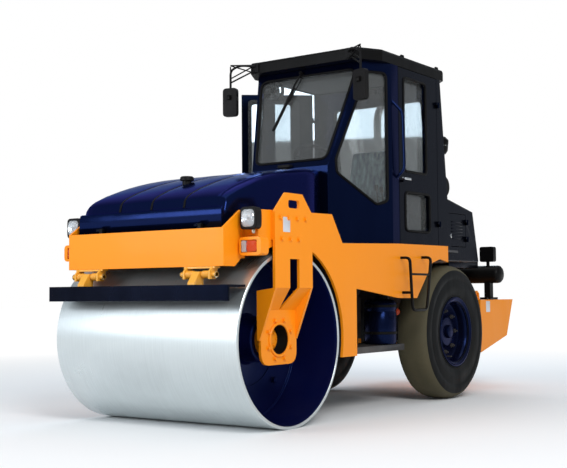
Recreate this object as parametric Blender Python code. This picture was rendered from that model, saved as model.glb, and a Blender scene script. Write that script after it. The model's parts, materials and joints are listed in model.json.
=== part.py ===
"""Single-drum road roller: smooth drum in front, cab amidships, engine behind it.

The machine looks towards -Y, its left side is +X, Z is up and the ground is z = 0.
Every piece is drawn about the drum's axle (y = 0) and the centre plane (x = 0). All of them
hang on one empty, which puts the middle of the machine's footprint at the world's origin.
"""
import math

import bmesh
import bpy
from mathutils import Matrix, Vector

# Clearances
GAP = 0.0003
MOVING_GAP = 0.005

# Drum
DRUM_RADIUS = 0.600
DRUM_HALF_WIDTH = 0.822
DRUM_SHELL = 0.025
DRUM_DISC_X = 0.440
DRUM_DISC_THICK = 0.020
DRUM_BOSS_X = 0.600
DRUM_BOSS_RADIUS = 0.160
DRUM_BORE = 0.115
DRUM_SIDES = 48
BEARING_SIDES = 24

# Rear wheels and steering
WHEELBASE = 2.505
TYRE_RADIUS = 0.5755
TYRE_INNER_X = 0.499
TYRE_WIDTH = 0.3085
TYRE_BEAD_RADIUS = 0.262
RIM_FLANGE_RADIUS = 0.300
RIM_WALL = 0.012
HUB_RADIUS = 0.135
SPINDLE_RADIUS = 0.040
KINGPIN_X = 0.450
KINGPIN_BOSS_RADIUS = 0.045
AXLE_BEAM_HEIGHT = 0.150
AXLE_BEAM_DEPTH = 0.120
STEER_ARM = 0.170
STEER_SWEEP = 0.100
WHEEL_SIDES = 32
SPINDLE_SIDES = 16

# Side plates, arms and frame
PLATE_X = 0.820
PLATE = 0.020
PLATE_FRONT_Y = -0.345
PLATE_BEND_AHEAD = 1.015
PLATE_BEND_Y = WHEELBASE - PLATE_BEND_AHEAD
PLATE_BEND = 0.0612
DRUM_ARCH_GAP = 0.060
LEG_REAR_Y = 0.845
FRAME_LOW_Z = 0.450
FLOOR = 0.060
RAIL_X = 0.180
RAIL = 0.030
ARM_PLATE = 0.020
ARM_FRONT_Y = -0.225
ARM_REAR_Y = 0.215
ARM_PAD = 0.015
ARM_DRUM_GAP = 0.013
ARM_X = max(PLATE_X + ARM_PAD, DRUM_HALF_WIDTH + ARM_DRUM_GAP)
HUB_PLATE_X = 0.700
HUB_PLATE_HALF = 0.205
BEAM_FRONT_Y = -0.588
BEAM_HALF = 0.693
BEAM_LOW_Z = 1.091

# Levels above the drum and the tyres
DRUM_TOP = 2 * DRUM_RADIUS
FENDER_TOP = 2 * TYRE_RADIUS + 0.047
DECK_LOW = max(DRUM_TOP, FENDER_TOP) + 0.065
DECK = 0.020
DECK_TOP = DECK_LOW + DECK
HOOD_FOOT_Z = DECK_TOP + FLOOR

# Cab
CAB_HALF = 0.650
CAB_WALL = 0.040
CAB_CORNER_Y = WHEELBASE - 0.805
CAB_FOOT_RISE = 0.645
CAB_HEIGHT = 1.515
PILLAR_REACH = 0.5926
PILLAR_TAPER = 0.388
PILLAR_REF_RISE = 0.700
SIDE_SLANT = (-0.4472, -0.8944)
REAR_WALL_Y = WHEELBASE + 0.227
REAR_LEAN = 0.112
ROOF = 0.100
DOOR_FRONT = 0.115
DOOR_LENGTH = 0.675
DOOR_THICK = 0.037
DOOR_SILL = 0.030
DOOR_OPEN_RIGHT = math.radians(50)
HINGE_OUT = 0.018
HINGE_RADIUS = 0.014
GLASS = 0.006
SEAT_Y = CAB_CORNER_Y + 0.500

# Front hood
HOOD_FRONT_Y = -0.541
HOOD_HALF_FRONT = 0.653
HOOD_HALF_REAR = 0.620
HOOD_SKIN = 0.010
HOOD_SHOULDER_Y = 0.590
HOOD_HINGE_X = 0.450
HOOD_IN_CAB = 0.320

# Rear
ENGINE_HOOD_FRONT = WHEELBASE + 0.240
ENGINE_HOOD_LENGTH = 0.651
ENGINE_HOOD_HALF = 0.600
ENGINE_HOOD_SKIN = 0.020
REAR_BOX_FRONT = WHEELBASE + 0.705
REAR_BOX_LENGTH = 0.730
REAR_BOX_HALF = 0.700
REAR_BOX_TOP = 0.845
REAR_BEAM_RADIUS = 0.085
TANK_RADIUS = 0.132
TUBE = 0.012

# Colours: base colour, roughness, metallic
ORANGE = ((0.95, 0.30, 0.02), 0.35, 0.0)
NAVY = ((0.006, 0.009, 0.030), 0.25, 0.0)
BLACK = ((0.010, 0.010, 0.012), 0.45, 0.0)
STEEL = ((0.62, 0.63, 0.65), 0.30, 1.0)
DRUM_BLUE = ((0.010, 0.015, 0.10), 0.40, 0.0)
YELLOW = ((0.85, 0.45, 0.03), 0.40, 0.0)
RUBBER = ((0.030, 0.028, 0.026), 0.80, 0.0)
CHROME = ((0.80, 0.80, 0.80), 0.15, 1.0)
SEAT_CLOTH = ((0.10, 0.16, 0.26), 0.85, 0.0)
CLEAR_GLASS = ((0.60, 0.68, 0.70), 0.05, 0.0)
IRON = ((0.05, 0.05, 0.06), 0.60, 0.4)

X = Vector((1, 0, 0))
Y = Vector((0, 1, 0))
Z = Vector((0, 0, 1))
NO_SHIFT = Vector((0, 0, 0))


# ---------------------------------------------------------------- shape helpers

def object_from(bm, name):
    """A scene object from a closed bmesh, faces turned outwards."""
    bmesh.ops.recalc_face_normals(bm, faces=bm.faces)
    mesh = bpy.data.meshes.new(name)
    bm.to_mesh(mesh)
    bm.free()
    item = bpy.data.objects.new(name, mesh)
    bpy.context.scene.collection.objects.link(item)
    return item


def slab(name, outline, low, high, across=Y, up=Z, origin=NO_SHIFT):
    """Prism of an outline drawn in (across, up), from low to high along their cross product."""
    normal = across.cross(up)
    bm = bmesh.new()
    rings = []
    for depth in (low, high):
        rings.append([bm.verts.new(origin + across * a + up * b + normal * depth)
                      for a, b in outline])
    bm.faces.new(rings[0][::-1])
    bm.faces.new(rings[1])
    for i in range(len(outline)):
        j = (i + 1) % len(outline)
        bm.faces.new((rings[0][i], rings[0][j], rings[1][j], rings[1][i]))
    return object_from(bm, name)


def block(name, low, high):
    """Box between two corners, given in any order."""
    a = [min(p, q) for p, q in zip(low, high)]
    b = [max(p, q) for p, q in zip(low, high)]
    outline = [(a[1], a[2]), (b[1], a[2]), (b[1], b[2]), (a[1], b[2])]
    return slab(name, outline, a[0], b[0])


def plate_x(name, outline, x_one, x_two):
    """Plate across X whose outline is drawn in (y, z)."""
    return slab(name, outline, min(x_one, x_two), max(x_one, x_two))


def plate_y(name, outline, y_one, y_two):
    """Plate across Y whose outline is drawn in (x, z)."""
    return slab(name, outline, -max(y_one, y_two), -min(y_one, y_two), X, Z)


def plate_z(name, outline, z_one, z_two):
    """Plate across Z whose outline is drawn in (x, y)."""
    return slab(name, outline, min(z_one, z_two), max(z_one, z_two), X, Y)


def loft(name, rings):
    """Closed solid through rings that all have the same number of points."""
    bm = bmesh.new()
    levels = [[bm.verts.new(Vector(p)) for p in ring] for ring in rings]
    bm.faces.new(levels[0][::-1])
    bm.faces.new(levels[-1])
    count = len(levels[0])
    for lower, upper in zip(levels, levels[1:]):
        for i in range(count):
            j = (i + 1) % count
            bm.faces.new((lower[i], lower[j], upper[j], upper[i]))
    return object_from(bm, name)


def turned(name, profile, centre, axis, sides):
    """Solid turned about an axis; the profile is a closed loop of (radius, distance) points."""
    axis = axis.normalized()
    side = (Z if abs(axis.z) < 0.9 else X)
    first = side.cross(axis).normalized()
    second = axis.cross(first)
    bm = bmesh.new()
    rings = []
    for radius, distance in profile:
        base = Vector(centre) + axis * distance
        if radius < 1e-6:
            rings.append([bm.verts.new(base)])
            continue
        ring = []
        for k in range(sides):
            turn = math.tau * (k + 0.5) / sides
            ring.append(bm.verts.new(base + (first * math.cos(turn) + second * math.sin(turn)) * radius))
        rings.append(ring)
    for here, after in zip(rings, rings[1:] + rings[:1]):
        if len(here) == 1 and len(after) == 1:
            continue
        for k in range(sides):
            n = (k + 1) % sides
            corners = [here[0]] if len(here) == 1 else [here[k], here[n]]
            corners += [after[0]] if len(after) == 1 else [after[n], after[k]]
            bm.faces.new(corners)
    item = object_from(bm, name)
    item.data.shade_smooth()
    item.data.set_sharp_from_angle(angle=math.radians(35))
    return item


def rolling_radius(radius, sides):
    """Corner radius of a many-sided roller whose flats lie at the given radius."""
    return radius / math.cos(math.pi / sides)


def rod(name, start, end, radius, sides=16):
    """Solid round bar between two points."""
    start = Vector(start)
    span = Vector(end) - start
    profile = [(0, 0), (radius, 0), (radius, span.length), (0, span.length)]
    return turned(name, profile, start, span, sides)


def rounded(outline, radius, steps=4):
    """The outline with each corner replaced by an arc."""
    result = []
    count = len(outline)
    for i in range(count):
        corner = Vector(outline[i])
        before = (Vector(outline[i - 1]) - corner)
        after = (Vector(outline[(i + 1) % count]) - corner)
        half = before.angle(after) / 2
        cut = min(radius / math.tan(half), before.length * 0.45, after.length * 0.45)
        start = corner + before.normalized() * cut
        end = corner + after.normalized() * cut
        for k in range(steps + 1):
            t = k / steps
            point = start * (1 - t) ** 2 + corner * 2 * t * (1 - t) + end * t ** 2
            result.append((point.x, point.y))
    return result


def rectangle(left, low, right, high):
    return [(left, low), (right, low), (right, high), (left, high)]


def bent_path(points, radius, steps=4):
    """Polyline through the points with its corners eased by arcs."""
    path = [Vector(points[0])]
    for before, corner, after in zip(points, points[1:], points[2:]):
        corner = Vector(corner)
        back = Vector(before) - corner
        ahead = Vector(after) - corner
        cut = min(radius, back.length * 0.45, ahead.length * 0.45)
        start = corner + back.normalized() * cut
        end = corner + ahead.normalized() * cut
        for k in range(steps + 1):
            t = k / steps
            path.append(start * (1 - t) ** 2 + corner * 2 * t * (1 - t) + end * t ** 2)
    path.append(Vector(points[-1]))
    return path


def tube(name, points, radius, bend=0.05, steps=4, resolution=2):
    """Round bar that follows bent points."""
    curve = bpy.data.curves.new(name, "CURVE")
    curve.dimensions = "3D"
    curve.bevel_depth = radius
    curve.bevel_resolution = resolution
    curve.use_fill_caps = True
    path = bent_path(points, bend, steps)
    spline = curve.splines.new("POLY")
    spline.points.add(len(path) - 1)
    for slot, point in zip(spline.points, path):
        slot.co = (point.x, point.y, point.z, 1)
    guide = bpy.data.objects.new(name + "_guide", curve)
    bpy.context.scene.collection.objects.link(guide)
    bpy.context.view_layer.update()
    shape = guide.evaluated_get(bpy.context.evaluated_depsgraph_get())
    bm = bmesh.new()
    bm.from_mesh(shape.to_mesh())
    bmesh.ops.remove_doubles(bm, verts=bm.verts, dist=1e-5)
    bpy.data.objects.remove(guide)
    bpy.data.curves.remove(curve)
    return object_from(bm, name)


def combine(target, tools, operation):
    """Apply Boolean steps to the target and remove the tools."""
    for number, tool in enumerate(tools):
        step = target.modifiers.new("step_%d" % number, "BOOLEAN")
        step.operation = operation
        step.solver = "EXACT"
        step.object = tool
    bpy.context.view_layer.update()
    shape = target.evaluated_get(bpy.context.evaluated_depsgraph_get())
    mesh = bpy.data.meshes.new_from_object(shape)
    target.modifiers.clear()
    old = target.data
    target.data = mesh
    mesh.name = target.name
    bpy.data.meshes.remove(old)
    for tool in tools:
        bpy.data.objects.remove(tool)
    return target


def join(target, *tools):
    return combine(target, tools, "UNION")


def cut(target, *tools):
    return combine(target, tools, "DIFFERENCE")


def keep(target, *tools):
    return combine(target, tools, "INTERSECT")


def inset(outline, amounts):
    """Anticlockwise outline with each edge moved inwards by its own amount."""
    lines = []
    count = len(outline)
    for i in range(count):
        a = Vector(outline[i])
        b = Vector(outline[(i + 1) % count])
        along = (b - a).normalized()
        inward = Vector((-along.y, along.x))
        lines.append((a + inward * amounts[i], along))
    result = []
    for i in range(count):
        p, u = lines[i - 1]
        q, v = lines[i]
        cross = u.x * v.y - u.y * v.x
        t = ((q.x - p.x) * v.y - (q.y - p.y) * v.x) / cross
        result.append((p.x + u.x * t, p.y + u.y * t))
    return result


def paint(item, look):
    """Give the piece its own material."""
    colour, roughness, metallic = look
    material = bpy.data.materials.new(item.name)
    material.use_nodes = True
    shader = material.node_tree.nodes["Principled BSDF"]
    shader.inputs["Base Color"].default_value = (*colour, 1)
    shader.inputs["Roughness"].default_value = roughness
    shader.inputs["Metallic"].default_value = metallic
    item.data.materials.clear()
    item.data.materials.append(material)
    return item


def pivoted(item, pivot):
    """Move the piece's origin to its joint's axis, with the shape left in place."""
    pivot = Vector(pivot)
    item.data.transform(Matrix.Translation(-pivot))
    item.location = pivot
    return item


def side_name(base, side):
    return base + ("_left" if side > 0 else "_right")


# ---------------------------------------------------------------- drum

def make_drum():
    shell_in = DRUM_RADIUS - DRUM_SHELL
    disc_in = DRUM_DISC_X - DRUM_DISC_THICK
    rolling = rolling_radius(DRUM_RADIUS, DRUM_SIDES)
    half = [(rolling, DRUM_HALF_WIDTH), (shell_in, DRUM_HALF_WIDTH), (shell_in, DRUM_DISC_X),
            (DRUM_BOSS_RADIUS, DRUM_DISC_X), (DRUM_BOSS_RADIUS, DRUM_BOSS_X),
            (DRUM_BORE, DRUM_BOSS_X), (DRUM_BORE, disc_in), (shell_in, disc_in)]
    profile = half + [(r, -x) for r, x in reversed(half)]
    drum = turned("drum", profile, (0, 0, DRUM_RADIUS), X, DRUM_SIDES)
    return pivoted(paint(drum, STEEL), (0, 0, DRUM_RADIUS))


# ---------------------------------------------------------------- arms

def arm_outline():
    """Upper plate of an arm: shoulders, peak, two legs with a slot between them."""
    peak = HOOD_FOOT_Z + 0.245
    shoulder = HOOD_FOOT_Z + 0.115
    foot = DRUM_RADIUS + 0.350
    slot_top = DRUM_RADIUS + 0.545
    return [(ARM_FRONT_Y, foot), (-0.055, foot), (-0.055, slot_top), (0.055, slot_top),
            (0.055, foot), (ARM_REAR_Y, foot), (ARM_REAR_Y, shoulder), (0.097, peak),
            (-0.097, peak), (ARM_FRONT_Y, shoulder)]


def hub_plate_outline():
    low = DRUM_RADIUS - 0.170
    top = DRUM_RADIUS + 0.215
    bottom = rounded(rectangle(-HUB_PLATE_HALF, low, HUB_PLATE_HALF, top), 0.09, 5)
    return [(y, z) for y, z in bottom if z < DRUM_RADIUS] + [(HUB_PLATE_HALF, top),
                                                            (-HUB_PLATE_HALF, top)]


def slanted_web(side, y_out, y_leg, y_low):
    """Web from one leg's foot down and inwards to the hub plate."""
    top = DRUM_RADIUS + 0.351
    low = DRUM_RADIUS + 0.200
    rings = []
    for y_one, y_two in ((y_out, y_leg), (y_out, y_low)):
        z = top if not rings else low
        x = ARM_X if not rings else HUB_PLATE_X
        rings.append([(side * x, y_one, z), (side * (x + ARM_PLATE), y_one, z),
                      (side * (x + ARM_PLATE), y_two, z), (side * x, y_two, z)])
    return loft("web", rings)


def arm_gusset(side, y_one, y_two):
    """Upright gusset that closes the space outside the hub plate."""
    top = DRUM_RADIUS + 0.352
    outline = [(side * HUB_PLATE_X, top - 0.020), (side * HUB_PLATE_X, DRUM_RADIUS),
               (side * (HUB_PLATE_X + ARM_PLATE), DRUM_RADIUS),
               (side * (ARM_X + ARM_PLATE), top)]
    return plate_y("gusset", outline, y_one, y_two)


def make_arm(side):
    outer = side * (ARM_X + ARM_PLATE)
    arm = plate_x(side_name("drum_arm", side), arm_outline(), side * ARM_X, outer)
    pad_low = DRUM_TOP + DRUM_ARCH_GAP + 0.010
    pad = rectangle(ARM_FRONT_Y, pad_low, ARM_REAR_Y, HOOD_FOOT_Z + 0.110)
    seat = plate_x("pad", pad, side * (PLATE_X + GAP), side * (ARM_X + 0.001))
    hub = plate_x("hub_plate", hub_plate_outline(), side * HUB_PLATE_X,
                  side * (HUB_PLATE_X + ARM_PLATE))
    front_web = slanted_web(side, ARM_FRONT_Y, -0.055, -0.004)
    rear_web = slanted_web(side, ARM_REAR_Y, 0.055, 0.004)
    front_gusset = arm_gusset(side, ARM_FRONT_Y, ARM_FRONT_Y + 0.021)
    rear_gusset = arm_gusset(side, ARM_REAR_Y - 0.021, ARM_REAR_Y)
    flange_x = side * (HUB_PLATE_X + 0.001)
    bore_fit = DRUM_BORE * math.cos(math.pi / DRUM_SIDES) - 0.0005
    inner_x = DRUM_DISC_X - DRUM_DISC_THICK
    housing = [(0.100, 0), (bore_fit + 0.050, 0), (bore_fit + 0.050, -0.030), (bore_fit, -0.030),
               (bore_fit, inner_x - HUB_PLATE_X), (0, inner_x - HUB_PLATE_X), (0, -0.080),
               (0.085, -0.080), (0.100, -0.050)]
    bearing = turned("bearing", housing, (flange_x, 0, DRUM_RADIUS), X * side, BEARING_SIDES)
    join(arm, seat, hub, front_web, rear_web, front_gusset, rear_gusset)
    hub_hole = rod("hub_hole", (side * (HUB_PLATE_X - 0.05), 0, DRUM_RADIUS),
                   (side * (HUB_PLATE_X + 0.05), 0, DRUM_RADIUS), 0.100, BEARING_SIDES)
    hole = rounded(rectangle(-0.070, HOOD_FOOT_Z + 0.143, 0.060, HOOD_FOOT_Z + 0.199), 0.02, 3)
    eye = plate_x("eye", hole, side * (ARM_X - 0.05), outer + side * 0.05)
    cut(arm, hub_hole, eye)
    join(arm, bearing)
    return paint(arm, ORANGE)


# ---------------------------------------------------------------- side plates and beam

def plate_outer(y):
    """Distance of the side plate's outer face from the centre plane at a given y."""
    return PLATE_X - PLATE_BEND * max(0.0, y - PLATE_BEND_Y)


def tyre_arch():
    """Edge of the side plate round the tyre, from its rear foot to its front foot."""
    top = 2 * TYRE_RADIUS
    return [(WHEELBASE - 0.050, top + 0.024), (WHEELBASE - 0.220, top + 0.049),
            (WHEELBASE - 0.385, top + 0.011), (WHEELBASE - 0.535, top - 0.133),
            (WHEELBASE - 0.694, top - 0.281)]


def drum_arch(first_y, last_z):
    """Arc round the drum from a forward point to a low rear point."""
    radius = DRUM_RADIUS + DRUM_ARCH_GAP
    start = math.acos(first_y / radius)
    end = math.asin((last_z - DRUM_RADIUS) / radius)
    steps = 16
    arc = []
    for k in range(steps + 1):
        turn = start + (end - start) * k / steps
        arc.append((radius * math.cos(turn), DRUM_RADIUS + radius * math.sin(turn)))
    return arc


def side_plate_outline():
    top = HOOD_FOOT_Z + 0.120
    low = 2 * TYRE_RADIUS - 0.279
    arch = drum_arch(PLATE_FRONT_Y, FRAME_LOW_Z)
    outline = [(PLATE_FRONT_Y, top), *arch, (LEG_REAR_Y, FRAME_LOW_Z), (LEG_REAR_Y, low + 0.075),
               (PLATE_BEND_Y, low)]
    outline += tyre_arch()[::-1]
    outline += [(WHEELBASE - 0.050, DECK_TOP + 0.030), (PLATE_BEND_Y, DECK_TOP + 0.017),
                (0.659, DECK_TOP - 0.009), (0.522, HOOD_FOOT_Z + 0.135)]
    return outline


def bend_plate(plate, side):
    """Crease the plate at the bend line and lean its rear part inwards."""
    bm = bmesh.new()
    bm.from_mesh(plate.data)
    geometry = bm.verts[:] + bm.edges[:] + bm.faces[:]
    bmesh.ops.bisect_plane(bm, geom=geometry, plane_co=(0, PLATE_BEND_Y, 0), plane_no=(0, 1, 0),
                           dist=1e-6)
    for corner in bm.verts:
        corner.co.x += side * (plate_outer(corner.co.y) - PLATE_X)
    bm.to_mesh(plate.data)
    bm.free()
    return plate


def make_side_plate(side):
    inner = side * (PLATE_X - PLATE)
    plate = plate_x(side_name("side_plate", side), side_plate_outline(), inner, side * PLATE_X)
    bend_plate(plate, side)
    shoulder_low = DRUM_RADIUS + 0.560
    shoulder_x = BEAM_HALF - 0.010
    shoulder = block("shoulder", (side * shoulder_x, PLATE_FRONT_Y - 0.020, shoulder_low),
                     (side * PLATE_X, PLATE_FRONT_Y + 0.001, HOOD_FOOT_Z + 0.120))
    lamp_box = rounded(rectangle(side * (PLATE_X - 0.090), BEAM_LOW_Z + 0.069,
                                 side * (PLATE_X + 0.085), BEAM_LOW_Z + 0.189),
                       0.03, 3)
    signal = plate_y("signal_box", lamp_box, PLATE_FRONT_Y - 0.105, PLATE_FRONT_Y - 0.019)
    recess = rectangle(side * (PLATE_X - 0.078), BEAM_LOW_Z + 0.088,
                       side * (PLATE_X + 0.052), BEAM_LOW_Z + 0.170)
    pocket = plate_y("pocket", recess, PLATE_FRONT_Y - 0.120, PLATE_FRONT_Y - 0.085)
    join(plate, shoulder, signal)
    cut(plate, pocket)
    return paint(plate, ORANGE)


def make_front_beam():
    top = HOOD_FOOT_Z - 0.003
    front = block("front_beam", (-BEAM_HALF, BEAM_FRONT_Y, BEAM_LOW_Z),
                  (BEAM_HALF, BEAM_FRONT_Y + 0.020, top))
    ledge = block("ledge", (-BEAM_HALF + 0.010, BEAM_FRONT_Y + 0.010, top - 0.015),
                  (BEAM_HALF - 0.010, HOOD_FRONT_Y - GAP + 0.045, top))
    back = PLATE_FRONT_Y - 0.020 - GAP
    cheek = [(BEAM_FRONT_Y, BEAM_LOW_Z), (-0.470, BEAM_LOW_Z), (-0.400, BEAM_LOW_Z + 0.054),
             (back, BEAM_LOW_Z + 0.054), (back, HOOD_FOOT_Z + 0.116), (-0.415, HOOD_FOOT_Z + 0.116),
             (BEAM_FRONT_Y, top)]
    cheeks = []
    for side in (1, -1):
        cheeks.append(plate_x("cheek", cheek, side * (BEAM_HALF - 0.001), side * (BEAM_HALF + 0.017)))
    hinges = [hood_hinge(side * HOOD_HINGE_X, 1) for side in (1, -1)]
    join(front, ledge, *cheeks, *hinges)
    return paint(front, ORANGE)


# ---------------------------------------------------------------- chassis

def hood_plan():
    """Right-hand corner points of the hood's foot behind its shoulders, as (x, y)."""
    rear = cab_foot_y() - 0.050
    return [(HOOD_HALF_REAR, HOOD_SHOULDER_Y), (CAB_HALF - HOOD_IN_CAB, rear)]


def cab_foot_y():
    """y of the cab's front wall below the windscreen."""
    reach = PILLAR_REACH + (PILLAR_REF_RISE - CAB_FOOT_RISE) * PILLAR_TAPER
    return CAB_CORNER_Y + SIDE_SLANT[1] * reach


def make_fender(side):
    """Bent liner over one rear tyre with a flange up to the deck."""
    y = WHEELBASE
    outer = [(y - 0.665, FENDER_TOP - 0.318), (y - 0.575, FENDER_TOP - 0.198),
             (y - 0.475, FENDER_TOP - 0.078), (y - 0.385, FENDER_TOP), (y + 0.600, FENDER_TOP)]
    inner = [(y + 0.600, FENDER_TOP - 0.008), (y - 0.381, FENDER_TOP - 0.008),
             (y - 0.468, FENDER_TOP - 0.082), (y - 0.568, FENDER_TOP - 0.202),
             (y - 0.658, FENDER_TOP - 0.322)]
    liner = plate_x("liner", outer + inner, side * 0.222, side * 0.735)
    flange = block("flange", (side * 0.222, y - 0.380, FENDER_TOP - 0.002),
                   (side * 0.232, y + 0.600, DECK_LOW + 0.001))
    return [liner, flange]


def make_chassis():
    wall_y = LEG_REAR_Y - 0.155
    deck_end = ENGINE_HOOD_FRONT + ENGINE_HOOD_LENGTH - 0.075
    wide = PLATE_X - PLATE - GAP
    hood_y = ENGINE_HOOD_FRONT - 0.020
    deck = plate_z("chassis", [(-wide, wall_y - 0.010), (wide, wall_y - 0.010),
                               (wide, PLATE_BEND_Y), (plate_outer(hood_y) - PLATE - GAP, hood_y),
                               (0.570, hood_y), (0.570, deck_end), (-0.570, deck_end),
                               (-0.570, hood_y), (-plate_outer(hood_y) + PLATE + GAP, hood_y),
                               (-wide, PLATE_BEND_Y)], DECK_LOW, DECK_TOP)
    rear = hood_plan()
    narrow = BEAM_HALF - 0.030
    nose = HOOD_FRONT_Y + 0.060
    behind_shoulder = PLATE_FRONT_Y + 0.001 + GAP
    right_half = [(wide, behind_shoulder), (wide, wall_y - 0.030), rear[0], rear[1]]
    left_half = [(-x, y) for x, y in reversed(right_half)]
    floor_plan = [(-narrow, behind_shoulder), (-narrow, nose), (narrow, nose), (narrow, behind_shoulder)]
    front_floor = plate_z("front_floor", floor_plan + right_half + left_half,
                          DECK_TOP - 0.001, HOOD_FOOT_Z - GAP)
    wall = block("wall", (-wide, wall_y - 0.005, FRAME_LOW_Z), (wide, wall_y + 0.015, DECK_LOW + 0.001))
    pieces = [front_floor, wall]
    rail_end = REAR_BOX_FRONT - GAP
    tail_low = REAR_BOX_TOP + GAP
    rail_low = TYRE_RADIUS + AXLE_BEAM_HEIGHT / 2 + 0.010
    for side in (1, -1):
        pieces.append(block("rail", (side * (RAIL_X - RAIL), wall_y, rail_low),
                            (side * RAIL_X, rail_end, DECK_LOW + 0.001)))
        pieces.append(block("rail_tail", (side * (RAIL_X - RAIL), rail_end - 0.020, tail_low),
                            (side * RAIL_X, deck_end - 0.040, DECK_LOW + 0.0005)))
        pieces += make_fender(side)
        pieces += make_shelf(side, wall_y)
    for y in (wall_y + 0.500, WHEELBASE - 0.250, rail_end - 0.040):
        pieces.append(block("cross", (-RAIL_X + 0.001, y, rail_low + 0.020),
                            (RAIL_X - 0.001, y + 0.020, DECK_LOW - 0.020)))
    join(deck, *pieces)
    return paint(deck, BLACK)


def shelf_end():
    return WHEELBASE - TYRE_RADIUS - STEER_SWEEP - 0.060


def make_shelf(side, wall_y):
    """Low shelf behind the drum that carries the tank, hung from the deck at its rear."""
    outer = PLATE_X - PLATE - 0.100
    end = shelf_end()
    shelf = block("shelf", (side * 0.300, wall_y, FRAME_LOW_Z), (side * outer, end, FRAME_LOW_Z + 0.050))
    hanger = block("hanger", (side * 0.300, end - 0.020, FRAME_LOW_Z + 0.010),
                   (side * 0.560, end, DECK_LOW + 0.001))
    return [shelf, hanger]


def make_tank(side):
    y = shelf_end() - 0.040 - TANK_RADIUS
    foot = FRAME_LOW_Z + 0.050 + GAP
    x = side * (PLATE_X - PLATE - 0.100 - TANK_RADIUS + 0.010)
    height = 0.366
    profile = [(0, 0), (TANK_RADIUS - 0.020, 0), (TANK_RADIUS, 0.020), (TANK_RADIUS, height - 0.035),
               (TANK_RADIUS - 0.012, height - 0.012), (0.060, height), (0, height)]
    tank = turned(side_name("tank", side), profile, (x, y, foot), Z, 28)
    return paint(tank, NAVY)


# ---------------------------------------------------------------- rear axle

def make_axle_beam():
    y = WHEELBASE
    low = TYRE_RADIUS - AXLE_BEAM_HEIGHT / 2
    high = TYRE_RADIUS + AXLE_BEAM_HEIGHT / 2
    beam = block("rear_axle", (-KINGPIN_X + 0.020, y - AXLE_BEAM_DEPTH / 2 + 0.02, low),
                 (KINGPIN_X - 0.020, y + AXLE_BEAM_DEPTH / 2 - 0.02, high))
    middle = block("middle", (-0.30, y - AXLE_BEAM_DEPTH / 2, low + 0.002),
                   (0.30, y + AXLE_BEAM_DEPTH / 2, high - 0.002))
    pad = block("pad", (-RAIL_X - 0.010, y - 0.050, high - 0.003),
                (RAIL_X + 0.010, y + 0.050, high + 0.010 - GAP))
    bosses = [rod("boss", (side * KINGPIN_X, y, low), (side * KINGPIN_X, y, high),
                  KINGPIN_BOSS_RADIUS, 24) for side in (1, -1)]
    join(beam, middle, pad, *bosses)
    return paint(beam, IRON)


def make_knuckle(side):
    y = WHEELBASE
    low = TYRE_RADIUS - AXLE_BEAM_HEIGHT / 2
    high = TYRE_RADIUS + AXLE_BEAM_HEIGHT / 2
    lug = 0.040
    web_in = KINGPIN_X + KINGPIN_BOSS_RADIUS + MOVING_GAP
    web_out = web_in + 0.022
    x = side * KINGPIN_X
    web = block(side_name("knuckle", side), (side * web_in, y - 0.050, low - lug),
                (side * web_out, y + 0.050, high + lug))
    pieces = []
    for z_one, z_two in ((low - lug, low - GAP), (high + GAP, high + lug)):
        pieces.append(rod("lug", (x, y, z_one), (x, y, z_two), KINGPIN_BOSS_RADIUS, 24))
        pieces.append(block("lug_root", (x, y - 0.040, z_one),
                            (side * (web_out - 0.002), y + 0.040, z_two)))
    spindle_end = TYRE_INNER_X + TYRE_WIDTH - 0.110
    pieces.append(rod("spindle", (side * (web_out - 0.002), y, TYRE_RADIUS),
                      (side * spindle_end, y, TYRE_RADIUS), SPINDLE_RADIUS, SPINDLE_SIDES))
    arm_low = low - lug + 0.003
    arm_high = low - GAP - 0.012
    pieces.append(block("arm", (x - 0.022, y, arm_low), (x + 0.022, y + STEER_ARM, arm_high)))
    pieces.append(rod("arm_eye", (x, y + STEER_ARM, arm_low + 0.001), (x, y + STEER_ARM, arm_high - 0.001),
                      0.026, 20))
    join(web, *pieces)
    return pivoted(paint(web, IRON), (x, y, TYRE_RADIUS))


def make_tie_rod():
    y = WHEELBASE + STEER_ARM
    low = TYRE_RADIUS - AXLE_BEAM_HEIGHT / 2 - 0.012
    high = low + 0.036
    middle = (low + high) / 2
    rod_body = rod("tie_rod", (-KINGPIN_X, y, middle), (KINGPIN_X, y, middle), 0.015, 12)
    eyes = [rod("eye", (side * KINGPIN_X, y, low), (side * KINGPIN_X, y, high), 0.026, 20)
            for side in (1, -1)]
    join(rod_body, *eyes)
    return pivoted(paint(rod_body, IRON), (KINGPIN_X, y, middle))


def make_tyre(side):
    half = TYRE_WIDTH / 2
    crown = rolling_radius(TYRE_RADIUS, WHEEL_SIDES)
    bead = TYRE_BEAD_RADIUS
    outer = [(bead, -half + 0.022), (RIM_FLANGE_RADIUS + 0.010, -half + 0.018),
             (RIM_FLANGE_RADIUS + 0.080, -half), (crown - 0.080, -half),
             (crown - 0.028, -half + 0.028), (crown, -half + 0.095)]
    inner = [(bead + 0.030, half - 0.060), (crown - 0.050, half - 0.050), (crown - 0.050, -half + 0.050),
             (bead + 0.030, -half + 0.060)]
    profile = outer + [(r, -d) for r, d in reversed(outer)] + inner
    centre = (side * (TYRE_INNER_X + half), WHEELBASE, TYRE_RADIUS)
    tyre = turned(side_name("tyre", side), profile, centre, X, WHEEL_SIDES)
    return pivoted(paint(tyre, RUBBER), centre)


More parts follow.
